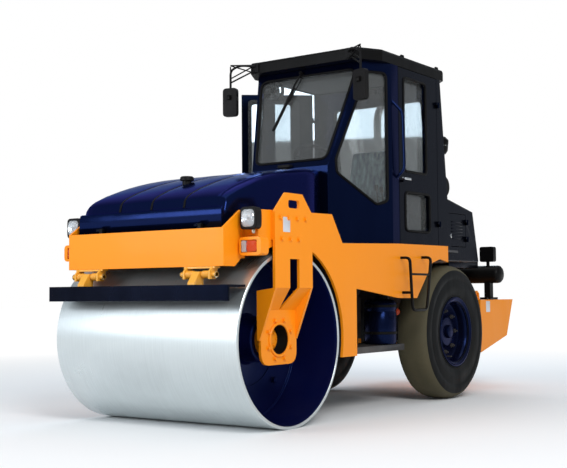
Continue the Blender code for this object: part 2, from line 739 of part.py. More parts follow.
def make_rim(side):
    half = TYRE_WIDTH / 2
    seat = TYRE_BEAD_RADIUS - GAP
    inner = seat - RIM_WALL
    lip = half - 0.018 - GAP
    edge = half - 0.004
    bore = SPINDLE_RADIUS / math.cos(math.pi / WHEEL_SIDES) + 0.0005
    disc = 0.020
    flange = RIM_FLANGE_RADIUS
    profile = [(seat, -lip - 0.004), (flange, -lip - 0.004), (flange, -edge), (inner, -edge),
               (inner, disc), (HUB_RADIUS, disc), (HUB_RADIUS - 0.030, -0.060), (bore, -0.060),
               (bore, 0.060), (HUB_RADIUS - 0.020, 0.060), (HUB_RADIUS, disc + 0.014),
               (inner, disc + 0.014), (inner, edge), (flange, edge), (flange, lip + 0.004),
               (seat, lip + 0.004)]
    if side < 0:
        profile = [(r, -d) for r, d in profile]
    centre = (side * (TYRE_INNER_X + half), WHEELBASE, TYRE_RADIUS)
    rim = turned(side_name("rim", side), profile, centre, X, WHEEL_SIDES)
    return pivoted(paint(rim, NAVY), centre)


# ---------------------------------------------------------------- rear end

def make_rear_box():
    y = REAR_BOX_FRONT
    end = y + REAR_BOX_LENGTH
    outline = [(y, REAR_BOX_TOP - 0.485), (y + 0.090, REAR_BOX_TOP - 0.464),
               (end - 0.150, REAR_BOX_TOP - 0.345), (end, REAR_BOX_TOP), (y, REAR_BOX_TOP)]
    box = plate_x("rear_box", outline, -REAR_BOX_HALF, REAR_BOX_HALF)
    lugs = []
    for side in (1, -1):
        lug = [(y + 0.060, REAR_BOX_TOP - 0.01), (y + 0.160, REAR_BOX_TOP - 0.01),
               (y + 0.150, REAR_BOX_TOP + 0.060), (y + 0.110, REAR_BOX_TOP + 0.085),
               (y + 0.070, REAR_BOX_TOP + 0.060)]
        plate = plate_x("lug", lug, side * 0.600, side * 0.620)
        hole = rod("hole", (side * 0.58, y + 0.110, REAR_BOX_TOP + 0.045),
                   (side * 0.64, y + 0.110, REAR_BOX_TOP + 0.045), 0.018, 16)
        lugs.append(cut(plate, hole))
    join(box, *lugs)
    return paint(box, ORANGE)


def rear_beam_centre():
    return REAR_BOX_FRONT + 0.370, REAR_BOX_TOP + 0.240


def make_rear_beam():
    y, z = rear_beam_centre()
    half = 0.750
    r = REAR_BEAM_RADIUS
    end = [(0, half), (r * 0.75, half - 0.004), (r * 0.95, half - 0.020), (r, half - 0.045)]
    profile = end + [(radius, -x) for radius, x in reversed(end)]
    beam = turned("rear_beam", profile, (0, y, z), X, 24)
    pieces = []
    for side in (1, -1):
        pieces.append(block("post", (side * 0.585, y - 0.035, REAR_BOX_TOP + GAP),
                            (side * 0.645, y + 0.035, z - r * 0.5)))
        pieces.append(block("foot", (side * 0.550, y - 0.060, REAR_BOX_TOP + GAP),
                            (side * 0.680, y + 0.060, REAR_BOX_TOP + 0.022)))
        pieces.append(rod("stalk", (side * 0.612, y, z + r - 0.02),
                          (side * 0.612, y, z + r + 0.045), 0.016))
        lamp = rounded(rectangle(side * 0.540, z + r + 0.035, side * 0.684, z + r + 0.180), 0.02, 3)
        pieces.append(plate_y("lamp", lamp, y - 0.030, y + 0.030))
    join(beam, *pieces)
    return paint(beam, BLACK)


def make_engine():
    y = ENGINE_HOOD_FRONT
    engine = block("engine", (-0.280, y + 0.060, DECK_TOP + GAP),
                   (0.280, y + ENGINE_HOOD_LENGTH - 0.170, DECK_TOP + 0.330))
    return paint(engine, IRON)


def engine_hood_outline(grow=0.0):
    """Side view of the engine hood, drawn in (y, z); grow moves its faces outwards."""
    y = ENGINE_HOOD_FRONT
    end = y + ENGINE_HOOD_LENGTH
    low = FENDER_TOP + 0.008
    top = DECK_TOP + 0.478
    rear_top = DECK_TOP + 0.381
    return [(y - grow, low - (0 if grow >= 0 else 0.2)), (end + grow, low - (0 if grow >= 0 else 0.2)),
            (end - 0.113 + grow, rear_top + grow), (y - grow, top + grow)]


def engine_door_bounds():
    """Front, rear, low and high edges of a side door's opening."""
    front = ENGINE_HOOD_FRONT + 0.030
    return front, front + 0.360, DECK_TOP + 0.045, DECK_TOP + 0.350


def exhaust_place():
    return -0.180, ENGINE_HOOD_FRONT + 0.130


def make_engine_hood():
    hood = plate_x("engine_hood", engine_hood_outline(), -ENGINE_HOOD_HALF, ENGINE_HOOD_HALF)
    skin = ENGINE_HOOD_SKIN
    hollow = plate_x("hollow", engine_hood_outline(-skin), -ENGINE_HOOD_HALF + skin,
                     ENGINE_HOOD_HALF - skin)
    front, rear, low, high = engine_door_bounds()
    doorway = plate_x("doorway", rectangle(front, low, rear, high), -1, 1)
    x, y = exhaust_place()
    hole = rod("hole", (x, y, DECK_TOP + 0.2), (x, y, DECK_TOP + 0.8), 0.036 + MOVING_GAP, 24)
    notch = block("notch", (-0.570 - GAP, ENGINE_HOOD_FRONT - 0.01, FENDER_TOP - 0.01),
                  (0.570 + GAP, ENGINE_HOOD_FRONT + ENGINE_HOOD_SKIN + 0.01, DECK_TOP + GAP))
    cut(hood, hollow, doorway, hole, notch)
    leaves = []
    for side in (1, -1):
        for z in (low + 0.050, high - 0.100):
            leaves.append(hinge_leaf(side, ENGINE_HOOD_HALF, rear, z, 1))
    join(hood, *leaves)
    return paint(hood, BLACK)


def hinge_leaf(side, wall, y, z, direction):
    """Half a door hinge: a leaf on the wall and its knuckle on the axis, 25 mm tall."""
    axis_x = wall + HINGE_OUT
    leaf = block("leaf", (side * (wall - 0.004), y, z),
                 (side * (axis_x + 0.004), y + direction * 0.035, z + 0.025))
    knuckle = rod("knuckle", (side * axis_x, y, z), (side * axis_x, y, z + 0.025), HINGE_RADIUS, 16)
    return join(leaf, knuckle)


def make_engine_door(side):
    front, rear, low, high = engine_door_bounds()
    g = MOVING_GAP
    outline = rectangle(front + g, low + g, rear - g, high - g)
    door = plate_x(side_name("engine_door", side), outline, side * (ENGINE_HOOD_HALF - 0.020),
                   side * ENGINE_HOOD_HALF)
    leaves = [hinge_leaf(side, ENGINE_HOOD_HALF, rear, z + 0.025 + GAP, -1)
              for z in (low + 0.050, high - 0.100)]
    join(door, *leaves)
    pivot = (side * (ENGINE_HOOD_HALF + HINGE_OUT), rear, (low + high) / 2)
    return pivoted(paint(door, BLACK), pivot)


def make_air_cleaner():
    y = ENGINE_HOOD_FRONT + 0.185
    z = DECK_TOP + 0.605
    r = 0.105
    left = 0.500
    inlet_x = left - 0.045
    profile = [(0, 0), (r - 0.015, 0), (r, 0.015), (r, 0.300), (r - 0.015, 0.315), (r - 0.015, 0.400),
               (0, 0.400)]
    cleaner = turned("air_cleaner", profile, (left, y, z), -X, 24)
    bracket = block("bracket", (0.180, y - 0.050, z - 0.260), (0.420, y + 0.050, z - 0.05))
    hood = plate_x("hood_guide", engine_hood_outline(GAP), -1, 1)
    cut(bracket, hood)
    top = DECK_TOP + 1.065
    riser = rod("riser", (inlet_x, y, z), (inlet_x, y, top - 0.130), 0.040, 12)
    bowl_profile = [(0, 0), (0.050, 0), (0.070, 0.030), (0.078, 0.110), (0.078, 0.130), (0.050, 0.160),
                    (0, 0.165)]
    bowl = turned("bowl", bowl_profile, (inlet_x, y, top - 0.160), Z, 20)
    join(cleaner, bracket, riser, bowl)
    return paint(cleaner, BLACK)


def make_exhaust():
    x, y = exhaust_place()
    foot = DECK_TOP + 0.330 + GAP
    top = DECK_TOP + 1.330
    pipe = tube("exhaust_pipe", [(x, y, foot), (x, y, top), (x + 0.070, y, top + 0.120)], 0.036, 0.08, 5, 4)
    return paint(pipe, CHROME)


# ---------------------------------------------------------------- cab shell

def pillar_reach(z):
    """How far forward of the cab's side corner the front pillar stands, along the slanted side."""
    rise = max(z - DECK_TOP, CAB_FOOT_RISE)
    return PILLAR_REACH - (rise - PILLAR_REF_RISE) * PILLAR_TAPER


def rear_wall_y(z):
    return REAR_WALL_Y - (z - DECK_TOP) * REAR_LEAN


def cab_plan(z):
    """Anticlockwise outer outline of the cab at a height, from its rear right corner."""
    reach = pillar_reach(z)
    pillar_x = CAB_HALF + SIDE_SLANT[0] * reach
    pillar_y = CAB_CORNER_Y + SIDE_SLANT[1] * reach
    rear = rear_wall_y(z)
    return [(-CAB_HALF, rear), (-CAB_HALF, CAB_CORNER_Y), (-pillar_x, pillar_y), (pillar_x, pillar_y),
            (CAB_HALF, CAB_CORNER_Y), (CAB_HALF, rear)]


def cab_solid(name, wall, levels):
    rings = []
    for z in levels:
        outline = cab_plan(z)
        if wall:
            outline = inset(outline, [wall] * len(outline))
        rings.append([(x, y, z) for x, y in outline])
    return loft(name, rings)


def cab_tube(name):
    """The cab's walls, with no windows, open at the floor and at the eaves."""
    foot = DECK_TOP + CAB_FOOT_RISE
    shell = cab_solid(name, 0, (DECK_TOP + GAP, foot, DECK_TOP + CAB_HEIGHT))
    hollow = cab_solid("hollow", CAB_WALL, (DECK_TOP - 0.1, foot, DECK_TOP + CAB_HEIGHT + 0.1))
    return cut(shell, hollow)


def door_front_y():
    return CAB_CORNER_Y + DOOR_FRONT


def door_rear_y():
    return door_front_y() + DOOR_LENGTH


def windscreen_frame():
    """Origin, upward direction and rise per level of the raked windscreen."""
    low = DECK_TOP + PILLAR_REF_RISE
    high = DECK_TOP + CAB_HEIGHT
    a = cab_plan(low)[3][1]
    b = cab_plan(high)[3][1]
    up = Vector((0, b - a, high - low)).normalized()
    return Vector((0, a, low)), up


def windscreen_outline(shrink=0.0):
    """Glass outline on the raked plane, in (x, distance up the plane)."""
    origin, up = windscreen_frame()
    top = (CAB_HEIGHT - 0.062 - PILLAR_REF_RISE) / up.z
    low_half = CAB_HALF + SIDE_SLANT[0] * PILLAR_REACH - 0.037
    high_half = CAB_HALF + SIDE_SLANT[0] * pillar_reach(DECK_TOP + CAB_HEIGHT - 0.062) - 0.035
    s = shrink
    outline = [(-low_half + s, s), (low_half - s, s), (high_half - s, top - s), (-high_half + s, top - s)]
    return rounded(outline, 0.07, 5)


def slanted_frame(side):
    """Origin and forward direction of a slanted cab side."""
    origin = Vector((side * CAB_HALF, CAB_CORNER_Y, DECK_TOP))
    forward = Vector((side * SIDE_SLANT[0], SIDE_SLANT[1], 0)).normalized()
    return origin, forward


def quarter_outline(shrink=0.0):
    """Quarter window on the slanted side, in (distance forward, height over the deck)."""
    pillar = 0.055
    top = CAB_HEIGHT - 0.085
    low = 0.345
    front_low = 0.640
    points = [(0.048, low + 0.030), (0.155, low),
              (pillar_reach(DECK_TOP + front_low) - pillar - 0.03, front_low - 0.05),
              (pillar_reach(DECK_TOP + PILLAR_REF_RISE) - pillar, PILLAR_REF_RISE),
              (pillar_reach(DECK_TOP + top) - pillar - 0.02, top), (0.050, top)]
    if shrink:
        points = inset(points, [shrink] * len(points))
    return rounded(points, 0.05, 4)


def rear_window_frame():
    low = DECK_TOP + 0.660
    origin = Vector((0, rear_wall_y(low), low))
    up = Vector((0, -REAR_LEAN, 1)).normalized()
    return origin, up


def rear_window_outline(shrink=0.0):
    s = shrink
    return rounded(rectangle(-0.460 + s, s, 0.460 - s, 0.700 - s), 0.05, 4)


def make_cab_front():
    front = cab_tube("cab_front")
    door_y = door_front_y() - MOVING_GAP
    part = block("front_part", (-2, -2, -1), (2, door_y, 5))
    keep(front, part)
    origin, up = windscreen_frame()
    cutters = [slab("windscreen_hole", windscreen_outline(), -0.2, 0.2, X, up, origin)]
    for side in (1, -1):
        corner, forward = slanted_frame(side)
        cutters.append(slab("quarter_hole", quarter_outline(), -0.1, 0.1, forward, Z, corner))
    cut(front, *cutters)
    for side in (1, -1):
        join(front, make_grab_rail(side))
    return paint(front, NAVY)


def make_grab_rail(side):
    """Upright hand rail ahead of a door."""
    y = door_front_y() - 0.045
    wall = side * (CAB_HALF - 0.010)
    out = side * (CAB_HALF + 0.075)
    points = [(wall, y - 0.060, DECK_TOP + 1.215), (out, y - 0.020, DECK_TOP + 1.110),
              (out, y, DECK_TOP + 0.640), (wall, y, DECK_TOP + 0.570)]
    return tube("grab_rail", points, TUBE, 0.04, 3, 2)


def make_cab_rear():
    rear = cab_tube("cab_rear")
    part = block("rear_part", (-2, door_rear_y() + MOVING_GAP, -1), (2, 5, 5))
    keep(rear, part)
    origin, up = rear_window_frame()
    cut(rear, slab("rear_hole", rear_window_outline(), -0.2, 0.2, X, up, origin))
    leaves = []
    for side in (1, -1):
        for rise in (0.200, 1.250):
            leaves.append(hinge_leaf(side, CAB_HALF, hinge_y(), DECK_TOP + rise, 1))
    join(rear, *leaves)
    return paint(rear, NAVY)


def hinge_y():
    """y of the cab doors' hinge axes, in the gap behind the doors."""
    return door_rear_y() + MOVING_GAP / 2


def make_roof():
    low = DECK_TOP + CAB_HEIGHT + GAP
    high = low + ROOF
    rear = rear_wall_y(low) + 0.125
    front = cab_plan(low)[3][1] - 0.113
    outline = [(-CAB_HALF + 0.122, front), (CAB_HALF - 0.122, front), (CAB_HALF, front + 0.220),
               (CAB_HALF, rear - 0.060),
               (CAB_HALF - 0.060, rear), (-CAB_HALF + 0.060, rear), (-CAB_HALF, rear - 0.060),
               (-CAB_HALF, front + 0.220)]
    rings = []
    for z, margin in ((low, 0), (high - 0.025, 0), (high - 0.006, 0.008), (high, 0.028)):
        ring = inset(outline, [margin] * len(outline)) if margin else outline
        rings.append([(x, y, z) for x, y in ring])
    roof = loft("cab_roof", rings)
    eyes = []
    for side in (1, -1):
        for y in (front + 0.645, rear - 0.080):
            eye = [(y - 0.030, high - 0.005), (y + 0.030, high - 0.005), (y + 0.022, high + 0.030),
                   (y - 0.022, high + 0.030)]
            lug = plate_x("eye", eye, side * (CAB_HALF - 0.060), side * (CAB_HALF - 0.048))
            hole = rod("hole", (side * (CAB_HALF - 0.080), y, high + 0.014),
                       (side * (CAB_HALF - 0.030), y, high + 0.014), 0.008, 12)
            eyes.append(cut(lug, hole))
    join(roof, *eyes)
    return paint(roof, NAVY)


# ---------------------------------------------------------------- doors and glass

def door_pivot(side):
    return Vector((side * (CAB_HALF + HINGE_OUT), hinge_y(), DECK_TOP))


def door_window(low, high, front, rear, shrink=0.0):
    y = door_front_y()
    s = shrink
    return rounded(rectangle(y + front + s, DECK_TOP + low + s, y + rear - s, DECK_TOP + high - s),
                   0.045, 4)


def make_door(side):
    g = MOVING_GAP
    y_front = door_front_y()
    y_rear = door_rear_y()
    outline = rectangle(y_front, DECK_TOP + DOOR_SILL, y_rear, DECK_TOP + CAB_HEIGHT - g)
    inner = CAB_HALF - DOOR_THICK
    door = plate_x(side_name("cab_door", side), outline, side * inner, side * CAB_HALF)
    upper = plate_x("upper", door_window(0.645, 1.435, 0.085, 0.475), side * (inner - 0.1), side * 0.8)
    lower = plate_x("lower", door_window(0.145, 0.472, 0.095, 0.525), side * (inner - 0.1), side * 0.8)
    cut(door, upper, lower)
    pieces = [hinge_leaf(side, CAB_HALF, hinge_y(), DECK_TOP + rise + 0.025 + GAP, -1)
              for rise in (0.200, 1.250)]
    pieces.append(block("handle", (side * (CAB_HALF - 0.001), y_front + 0.030, DECK_TOP + 0.545),
                        (side * (CAB_HALF + 0.022), y_front + 0.060, DECK_TOP + 0.580)))
    join(door, *pieces)
    return pivoted(paint(door, NAVY), door_pivot(side))


def make_door_glass(side):
    """One pane on the inside of a door, behind both of its openings."""
    outer = CAB_HALF - DOOR_THICK - GAP
    y = door_front_y()
    outline = rounded(rectangle(y + 0.060, DECK_TOP + 0.115, y + 0.550, DECK_TOP + 1.460), 0.04, 3)
    pane = plate_x(side_name("door_glass", side), outline, side * (outer - GLASS), side * outer)
    return pivoted(paint(pane, CLEAR_GLASS), door_pivot(side))


def make_windscreen():
    origin, up = windscreen_frame()
    pane = slab("windscreen", windscreen_outline(GAP), -0.020 - GLASS, -0.020, X, up, origin)
    return paint(pane, CLEAR_GLASS)


def make_quarter_glass(side):
    origin, forward = slanted_frame(side)
    inward = -1 if forward.cross(Z).dot(Vector((side, 0, 0))) > 0 else 1
    near = inward * 0.017
    far = inward * (0.017 + GLASS)
    outline = quarter_outline(GAP)
    pane = slab(side_name("quarter_glass", side), outline, min(near, far), max(near, far),
                forward, Z, origin)
    return paint(pane, CLEAR_GLASS)


def make_rear_window():
    origin, up = rear_window_frame()
    inward = -1 if X.cross(up).y > 0 else 1
    near = inward * 0.017
    far = inward * (0.017 + GLASS)
    pane = slab("rear_window", rear_window_outline(GAP), min(near, far), max(near, far), X, up, origin)
    return paint(pane, CLEAR_GLASS)


# ---------------------------------------------------------------- cab interior

def make_seat_base():
    base = block("seat_base", (-0.200, SEAT_Y - 0.200, DECK_TOP + GAP),
                 (0.200, SEAT_Y + 0.230, DECK_TOP + 0.340))
    plate = block("plate", (-0.230, SEAT_Y - 0.230, DECK_TOP + 0.335),
                  (0.230, SEAT_Y + 0.290, DECK_TOP + 0.360))
    join(base, plate)
    return paint(base, BLACK)


def make_seat():
    low = DECK_TOP + 0.360 + GAP
    cushion = rounded([(SEAT_Y - 0.270, low), (SEAT_Y + 0.290, low), (SEAT_Y + 0.330, low + 0.560),
                       (SEAT_Y + 0.240, low + 0.600), (SEAT_Y + 0.170, low + 0.150),
                       (SEAT_Y - 0.240, low + 0.130)], 0.05, 3)
    seat = plate_x("seat", cushion, -0.235, 0.235)
    return paint(seat, SEAT_CLOTH)


def make_console():
    """Steering console with its column and wheel."""
    front = cab_foot_y() + CAB_WALL + 0.004
    console = plate_x("steering_console", [(front, DECK_TOP + GAP), (front + 0.170, DECK_TOP + GAP),
                                           (front + 0.200, DECK_TOP + 0.520),
                                           (front + 0.050, DECK_TOP + 0.600), (front, DECK_TOP + 0.590)],
                      -0.210, 0.210)
    top = Vector((0, front + 0.370, DECK_TOP + 0.735))
    foot = Vector((0, front + 0.120, DECK_TOP + 0.420))
    column = rod("column", foot, top, 0.028, 16)
    tilt = (top - foot).normalized()
    wheel_radius = 0.200
    ring = []
    for k in range(6):
        turn = math.tau * k / 6
        ring.append((wheel_radius + 0.014 * math.cos(turn), 0.014 * math.sin(turn)))
    rim = turned("rim", ring, top, tilt, 20)
    hub = turned("hub", [(0, -0.020), (0.045, -0.020), (0.045, 0.012), (0, 0.012)], top, tilt, 12)
    spokes = []
    flat = X
    other = tilt.cross(flat).normalized()
    for turn in (math.radians(90), math.radians(210), math.radians(330)):
        out = flat * math.cos(turn) + other * math.sin(turn)
        spokes.append(rod("spoke", top + out * 0.02, top + out * (wheel_radius + 0.002), 0.009, 8))
    join(console, column, hub, *spokes, rim)
    return paint(console, BLACK)


# ---------------------------------------------------------------- cab outside

def make_mirror(side):
    low = DECK_TOP + CAB_HEIGHT + GAP
    front = cab_plan(low)[3][1] - 0.113
    head_x = CAB_HALF + 0.002
    head_y = front - 0.124
    head_z = DECK_TOP + 1.267
    outline = rounded(rectangle(-0.065, -0.122, 0.065, 0.122), 0.03, 3)
    turn = Matrix.Rotation(side * math.radians(-12), 3, "Z")
    across = turn @ X
    head = slab(side_name("mirror", side), outline, -0.022, 0.022, across, Z,
                Vector((side * head_x, head_y, head_z)))
    foot = block("foot", (side * (CAB_HALF - 0.210), front - 0.012, low + 0.010),
                 (side * (CAB_HALF - 0.150), front - GAP, low + 0.090))
    arm = tube("arm", [(side * (CAB_HALF - 0.180), front - 0.010, low + 0.060),
                       (side * (CAB_HALF - 0.090), front - 0.110, low + 0.062),
                       (side * head_x, head_y, low + 0.030), (side * head_x, head_y, head_z + 0.09)],
               0.010, 0.04, 3, 1)
    brace = tube("brace", [(side * (CAB_HALF - 0.170), front - 0.009, low + 0.025),
                           (side * head_x, head_y, head_z + 0.170)],
                 0.007, 0.01, 1, 1)
    join(head, foot, arm, brace)
    return paint(head, BLACK)


def make_wiper():
    origin, up = windscreen_frame()
    normal = X.cross(up)
    reach = (CAB_HEIGHT - 0.062 - PILLAR_REF_RISE) / up.z
    top = origin + up * (reach + 0.022) + X * -0.060
    knee = origin + up * (reach - 0.230) + X * -0.150
    low = origin + up * (reach - 0.500) + X * -0.235
    arm = rod("wiper", top + normal * 0.016, knee + normal * 0.022, 0.007, 10)
    motor = rod("spindle", top + normal * GAP, top + normal * 0.030, 0.016, 12)
    along = (low - top).normalized()
    start = knee - along * 0.200
    blade = rod("blade", start + normal * 0.018, low + normal * 0.018, 0.009, 8)
    join(arm, motor, blade)
    return paint(arm, BLACK)


def make_ladder(side):
    """Bent tube step hung on the side plate ahead of the rear tyre."""
    y_front = WHEELBASE - 0.985
    y_rear = WHEELBASE - 0.595
    top = 2 * TYRE_RADIUS + 0.039
    out = side * (PLATE_X + 0.080)
    out_rear = side * (PLATE_X + 0.060)
    wall_front = side * (plate_outer(y_front - TUBE) + GAP)
    wall_rear = side * (plate_outer(y_rear - TUBE) + GAP)
    low = top - 0.415
    path = [(wall_front, y_front, top), (out, y_front, top), (out, y_front + 0.035, low),
            (out_rear, y_rear - 0.080, low), (out_rear, y_rear, top + 0.012),
            (wall_rear, y_rear, top + 0.012)]
    ladder = tube(side_name("step", side), path, TUBE, 0.045, 3, 1)
    rung_z = top - 0.130
    rung = rod("rung", (out - side * 0.001, y_front + 0.012, rung_z),
               (out_rear, y_rear - 0.032, rung_z), 0.009, 10)
    stay_z = top - 0.275
    stay = rod("stay", (wall_front, y_front + 0.022, stay_z), (out, y_front + 0.022, stay_z), 0.011, 10)
    join(ladder, rung, stay)
    return paint(ladder, BLACK)


# ---------------------------------------------------------------- front hood

def hood_profile():
    """Side view of the hood's top from the front foot to the cab, in (y, z)."""
    z = HOOD_FOOT_Z
    rear = cab_foot_y() - 0.050
    return [(HOOD_FRONT_Y, z), (HOOD_FRONT_Y + 0.014, z + 0.138), (HOOD_FRONT_Y + 0.040, z + 0.142),
            (HOOD_FRONT_Y + 0.059, z + 0.196), (HOOD_FRONT_Y + 0.090, z + 0.226),
            (HOOD_FRONT_Y + 0.160, z + 0.265), (HOOD_FRONT_Y + 0.271, z + 0.307),
            (HOOD_FRONT_Y + 0.430, z + 0.360), (HOOD_FRONT_Y + 0.628, z + 0.412),
            (HOOD_FRONT_Y + 0.906, z + 0.461), (HOOD_SHOULDER_Y, z + 0.489),
            ((HOOD_SHOULDER_Y + rear) / 2, z + 0.518), (rear, z + 0.550), (rear + 0.001, z)]


def hood_half(y):
    """Half width of the hood at a given y: slow taper, then the slanted rear corners."""
    rear = cab_foot_y() - 0.050
    if y <= HOOD_SHOULDER_Y:
        share = (y - HOOD_FRONT_Y) / (HOOD_SHOULDER_Y - HOOD_FRONT_Y)
        return HOOD_HALF_FRONT + (HOOD_HALF_REAR - HOOD_HALF_FRONT) * share
    share = (y - HOOD_SHOULDER_Y) / (rear - HOOD_SHOULDER_Y)
    return HOOD_HALF_REAR + (CAB_HALF - HOOD_IN_CAB - HOOD_HALF_REAR) * share


def hood_skin(bm, thick):
    """Rows of corners of the hood's surface, moved inwards by thick, with its faces."""
    columns = 13
    lobes = 4
    rows = []
    profile = hood_profile()
    for number, (y, z) in enumerate(profile):
        end = number in (0, len(profile) - 1)
        half = hood_half(y) - thick
        y_in = min(y + (thick if number < 5 else 0.0), cab_foot_y() - 0.050 - thick)
        top = HOOD_FOOT_Z if end else z - thick
        row = [bm.verts.new((-half, y_in, HOOD_FOOT_Z))]
        for k in range(columns):
            share = k / (columns - 1)
            lobe = abs(math.sin(math.pi * lobes * share)) ** 0.6
            crown = 0.016 * lobe if 3 <= number and not end else 0.0
            row.append(bm.verts.new((-half + 2 * half * share, y_in, top + crown)))
        row.append(bm.verts.new((half, y_in, HOOD_FOOT_Z)))
        rows.append(row)
    for lower, upper in zip(rows, rows[1:]):
        for k in range(len(lower) - 1):
            bm.faces.new((lower[k], lower[k + 1], upper[k + 1], upper[k]))
    return rows


def rim_path(rows):
    """Corners round the open foot of a surface, in order."""
    last = rows[-1]
    path = rows[0][:] + [row[-1] for row in rows[1:]]
    return path + last[-2::-1] + [row[0] for row in rows[-2:0:-1]]


def make_front_hood():
    bm = bmesh.new()
    outer = rim_path(hood_skin(bm, 0.0))
    inner = rim_path(hood_skin(bm, HOOD_SKIN))
    for i in range(len(outer)):
        bm.faces.new((outer[i - 1], outer[i], inner[i], inner[i - 1]))
    bmesh.ops.remove_doubles(bm, verts=bm.verts, dist=1e-5)
    bmesh.ops.dissolve_degenerate(bm, edges=bm.edges, dist=1e-5)
    hood = object_from(bm, "front_hood")
    cap_y = -0.117
    cap = rod("cap", (0, cap_y, HOOD_FOOT_Z + 0.340), (0, cap_y, HOOD_FOOT_Z + 0.410), 0.050, 24)
    join(hood, cap)
    leaves = []
    for side in (1, -1):
        leaves.append(hood_hinge(side * HOOD_HINGE_X, -1))
    join(hood, *leaves)
    return pivoted(paint(hood, NAVY), hood_pivot())


def hood_pivot():
    return Vector((0, HOOD_FRONT_Y - 0.022, HOOD_FOOT_Z + 0.018))


def hood_hinge(x, part):
    """Half a hood hinge on a lateral axis: part -1 is the hood's, part 1 the beam's."""
    pivot = hood_pivot()
    width = 0.030
    start = x if part < 0 else x + width + GAP
    knuckle = rod("knuckle", (start, pivot.y, pivot.z), (start + width, pivot.y, pivot.z), 0.014, 16)
    if part < 0:
        leaf = block("leaf", (start, pivot.y, pivot.z - 0.004),
                     (start + width, HOOD_FRONT_Y + 0.004, pivot.z + 0.014))
    else:
        leaf = block("leaf", (start, pivot.y - 0.012, HOOD_FOOT_Z - 0.010),
                     (start + width, pivot.y + 0.012, pivot.z))
    return join(knuckle, leaf)


# ---------------------------------------------------------------- lamps and scraper

def make_headlamp(side):
    y = PLATE_FRONT_Y - 0.020 - GAP
    z = HOOD_FOOT_Z + 0.057
    x = side * (PLATE_X - 0.014)
    rings = []
    for depth, half_x, half_z in ((0.0, 0.045, 0.050), (0.030, 0.066, 0.072), (0.085, 0.068, 0.074),
                                  (0.090, 0.063, 0.069)):
        ring = rounded(rectangle(-half_x, -half_z, half_x, half_z), 0.03, 4)
        rings.append([(x + a, y - depth, z + b) for a, b in ring])
    lamp = loft(side_name("headlamp", side), rings)
    return paint(lamp, BLACK)


def scraper_levels():
    """Low and high edges of the scraper bar."""
    return DRUM_RADIUS + 0.268, DRUM_RADIUS + 0.372


def scraper_y():
    return -DRUM_RADIUS - 0.077


def make_scraper():
    low, high = scraper_levels()
    y = scraper_y()
    half = DRUM_HALF_WIDTH - 0.006
    blade = block("scraper_blade", (-half, y, low), (half, y + 0.017, high))
    edge = -math.sqrt(DRUM_RADIUS ** 2 - (high - 0.017 - DRUM_RADIUS) ** 2) - 0.012
    shelf = block("shelf", (-half, y + 0.005, high - 0.017), (half, edge, high))
    join(blade, shelf)
    return paint(blade, BLACK)


def make_scraper_bracket(side):
    """Spring bracket that hangs the scraper bar under the front beam."""
    low, high = scraper_levels()
    y = BEAM_FRONT_Y
    z_pin = BEAM_LOW_Z - 0.052
    centre = side * (BEAM_HALF - 0.188)
    top = BEAM_LOW_Z - GAP
    foot = high + GAP
    head = block(side_name("scraper_bracket", side), (centre - 0.130, y, top - 0.012),
                 (centre + 0.130, y + 0.055, top))
    pieces = []
    for offset in (-0.115, 0.100):
        ear = [(y, top - 0.002), (y + 0.055, top - 0.002),
               (y + 0.030, z_pin - 0.030), (y - 0.030, z_pin - 0.030),
               (y - 0.030, z_pin + 0.020)]
        pieces.append(plate_x("ear", ear, centre + offset, centre + offset + 0.015))
    pieces.append(rod("spring", (centre - 0.150, y, z_pin), (centre + 0.150, y, z_pin), 0.017, 16))
    arm = [(y - 0.028, z_pin + 0.020), (y + 0.020, z_pin + 0.020),
           (y + 0.010, foot + 0.010), (y + 0.010, foot),
           (scraper_y() + 0.008, foot), (scraper_y() + 0.008, foot + 0.012)]
    pieces.append(plate_x("arm", arm, centre - 0.030, centre + 0.030))
    join(head, *pieces)
    return paint(head, YELLOW)


# ---------------------------------------------------------------- assembly

def build_all():
    """Every piece, and the pieces that turn with a door."""
    pieces = [make_drum(), make_front_beam(), make_chassis(), make_axle_beam(), make_tie_rod(),
              make_rear_box(), make_rear_beam(), make_engine(), make_engine_hood(),
              make_air_cleaner(), make_exhaust(), make_cab_front(), make_cab_rear(), make_roof(),
              make_windscreen(), make_rear_window(), make_seat_base(), make_seat(), make_console(),
              make_wiper(), make_front_hood(), make_scraper()]
    for side in (1, -1):
        pieces += [make_arm(side), make_side_plate(side), make_tank(side), make_knuckle(side),
                   make_tyre(side), make_rim(side), make_engine_door(side), make_quarter_glass(side),
                   make_mirror(side), make_ladder(side), make_headlamp(side),
                   make_scraper_bracket(side)]
        pieces += [make_door(side), make_door_glass(side)]
    return pieces


def open_right_door():
    """Swing the right door and its glass out about their hinge."""
    for name in ("cab_door_right", "door_glass_right"):
        bpy.data.objects[name].rotation_euler.z = -DOOR_OPEN_RIGHT


def footprint_middle(pieces):
    """Middle of the machine's bounding box in plan."""
    bpy.context.view_layer.update()
    corners = []
    for piece in pieces:
        corners += [piece.matrix_world @ vertex.co for vertex in piece.data.vertices]
    xs = [corner.x for corner in corners]
    ys = [corner.y for corner in corners]
    return Vector(((min(xs) + max(xs)) / 2, (min(ys) + max(ys)) / 2, 0))


def main():
    for item in list(bpy.data.objects):
        bpy.data.objects.remove(item)
    pieces = build_all()
    open_right_door()
    machine = bpy.data.objects.new("machine", None)
    bpy.context.scene.collection.objects.link(machine)
    machine.location = -footprint_middle(pieces)
    for piece in pieces:
        piece.parent = machine


main()
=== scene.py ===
"""Road roller: finished skins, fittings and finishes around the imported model, as an add-on."""

import json
import math

import bmesh
import bpy
from bpy.props import FloatProperty, FloatVectorProperty, IntProperty, PointerProperty
from mathutils import Matrix, Vector


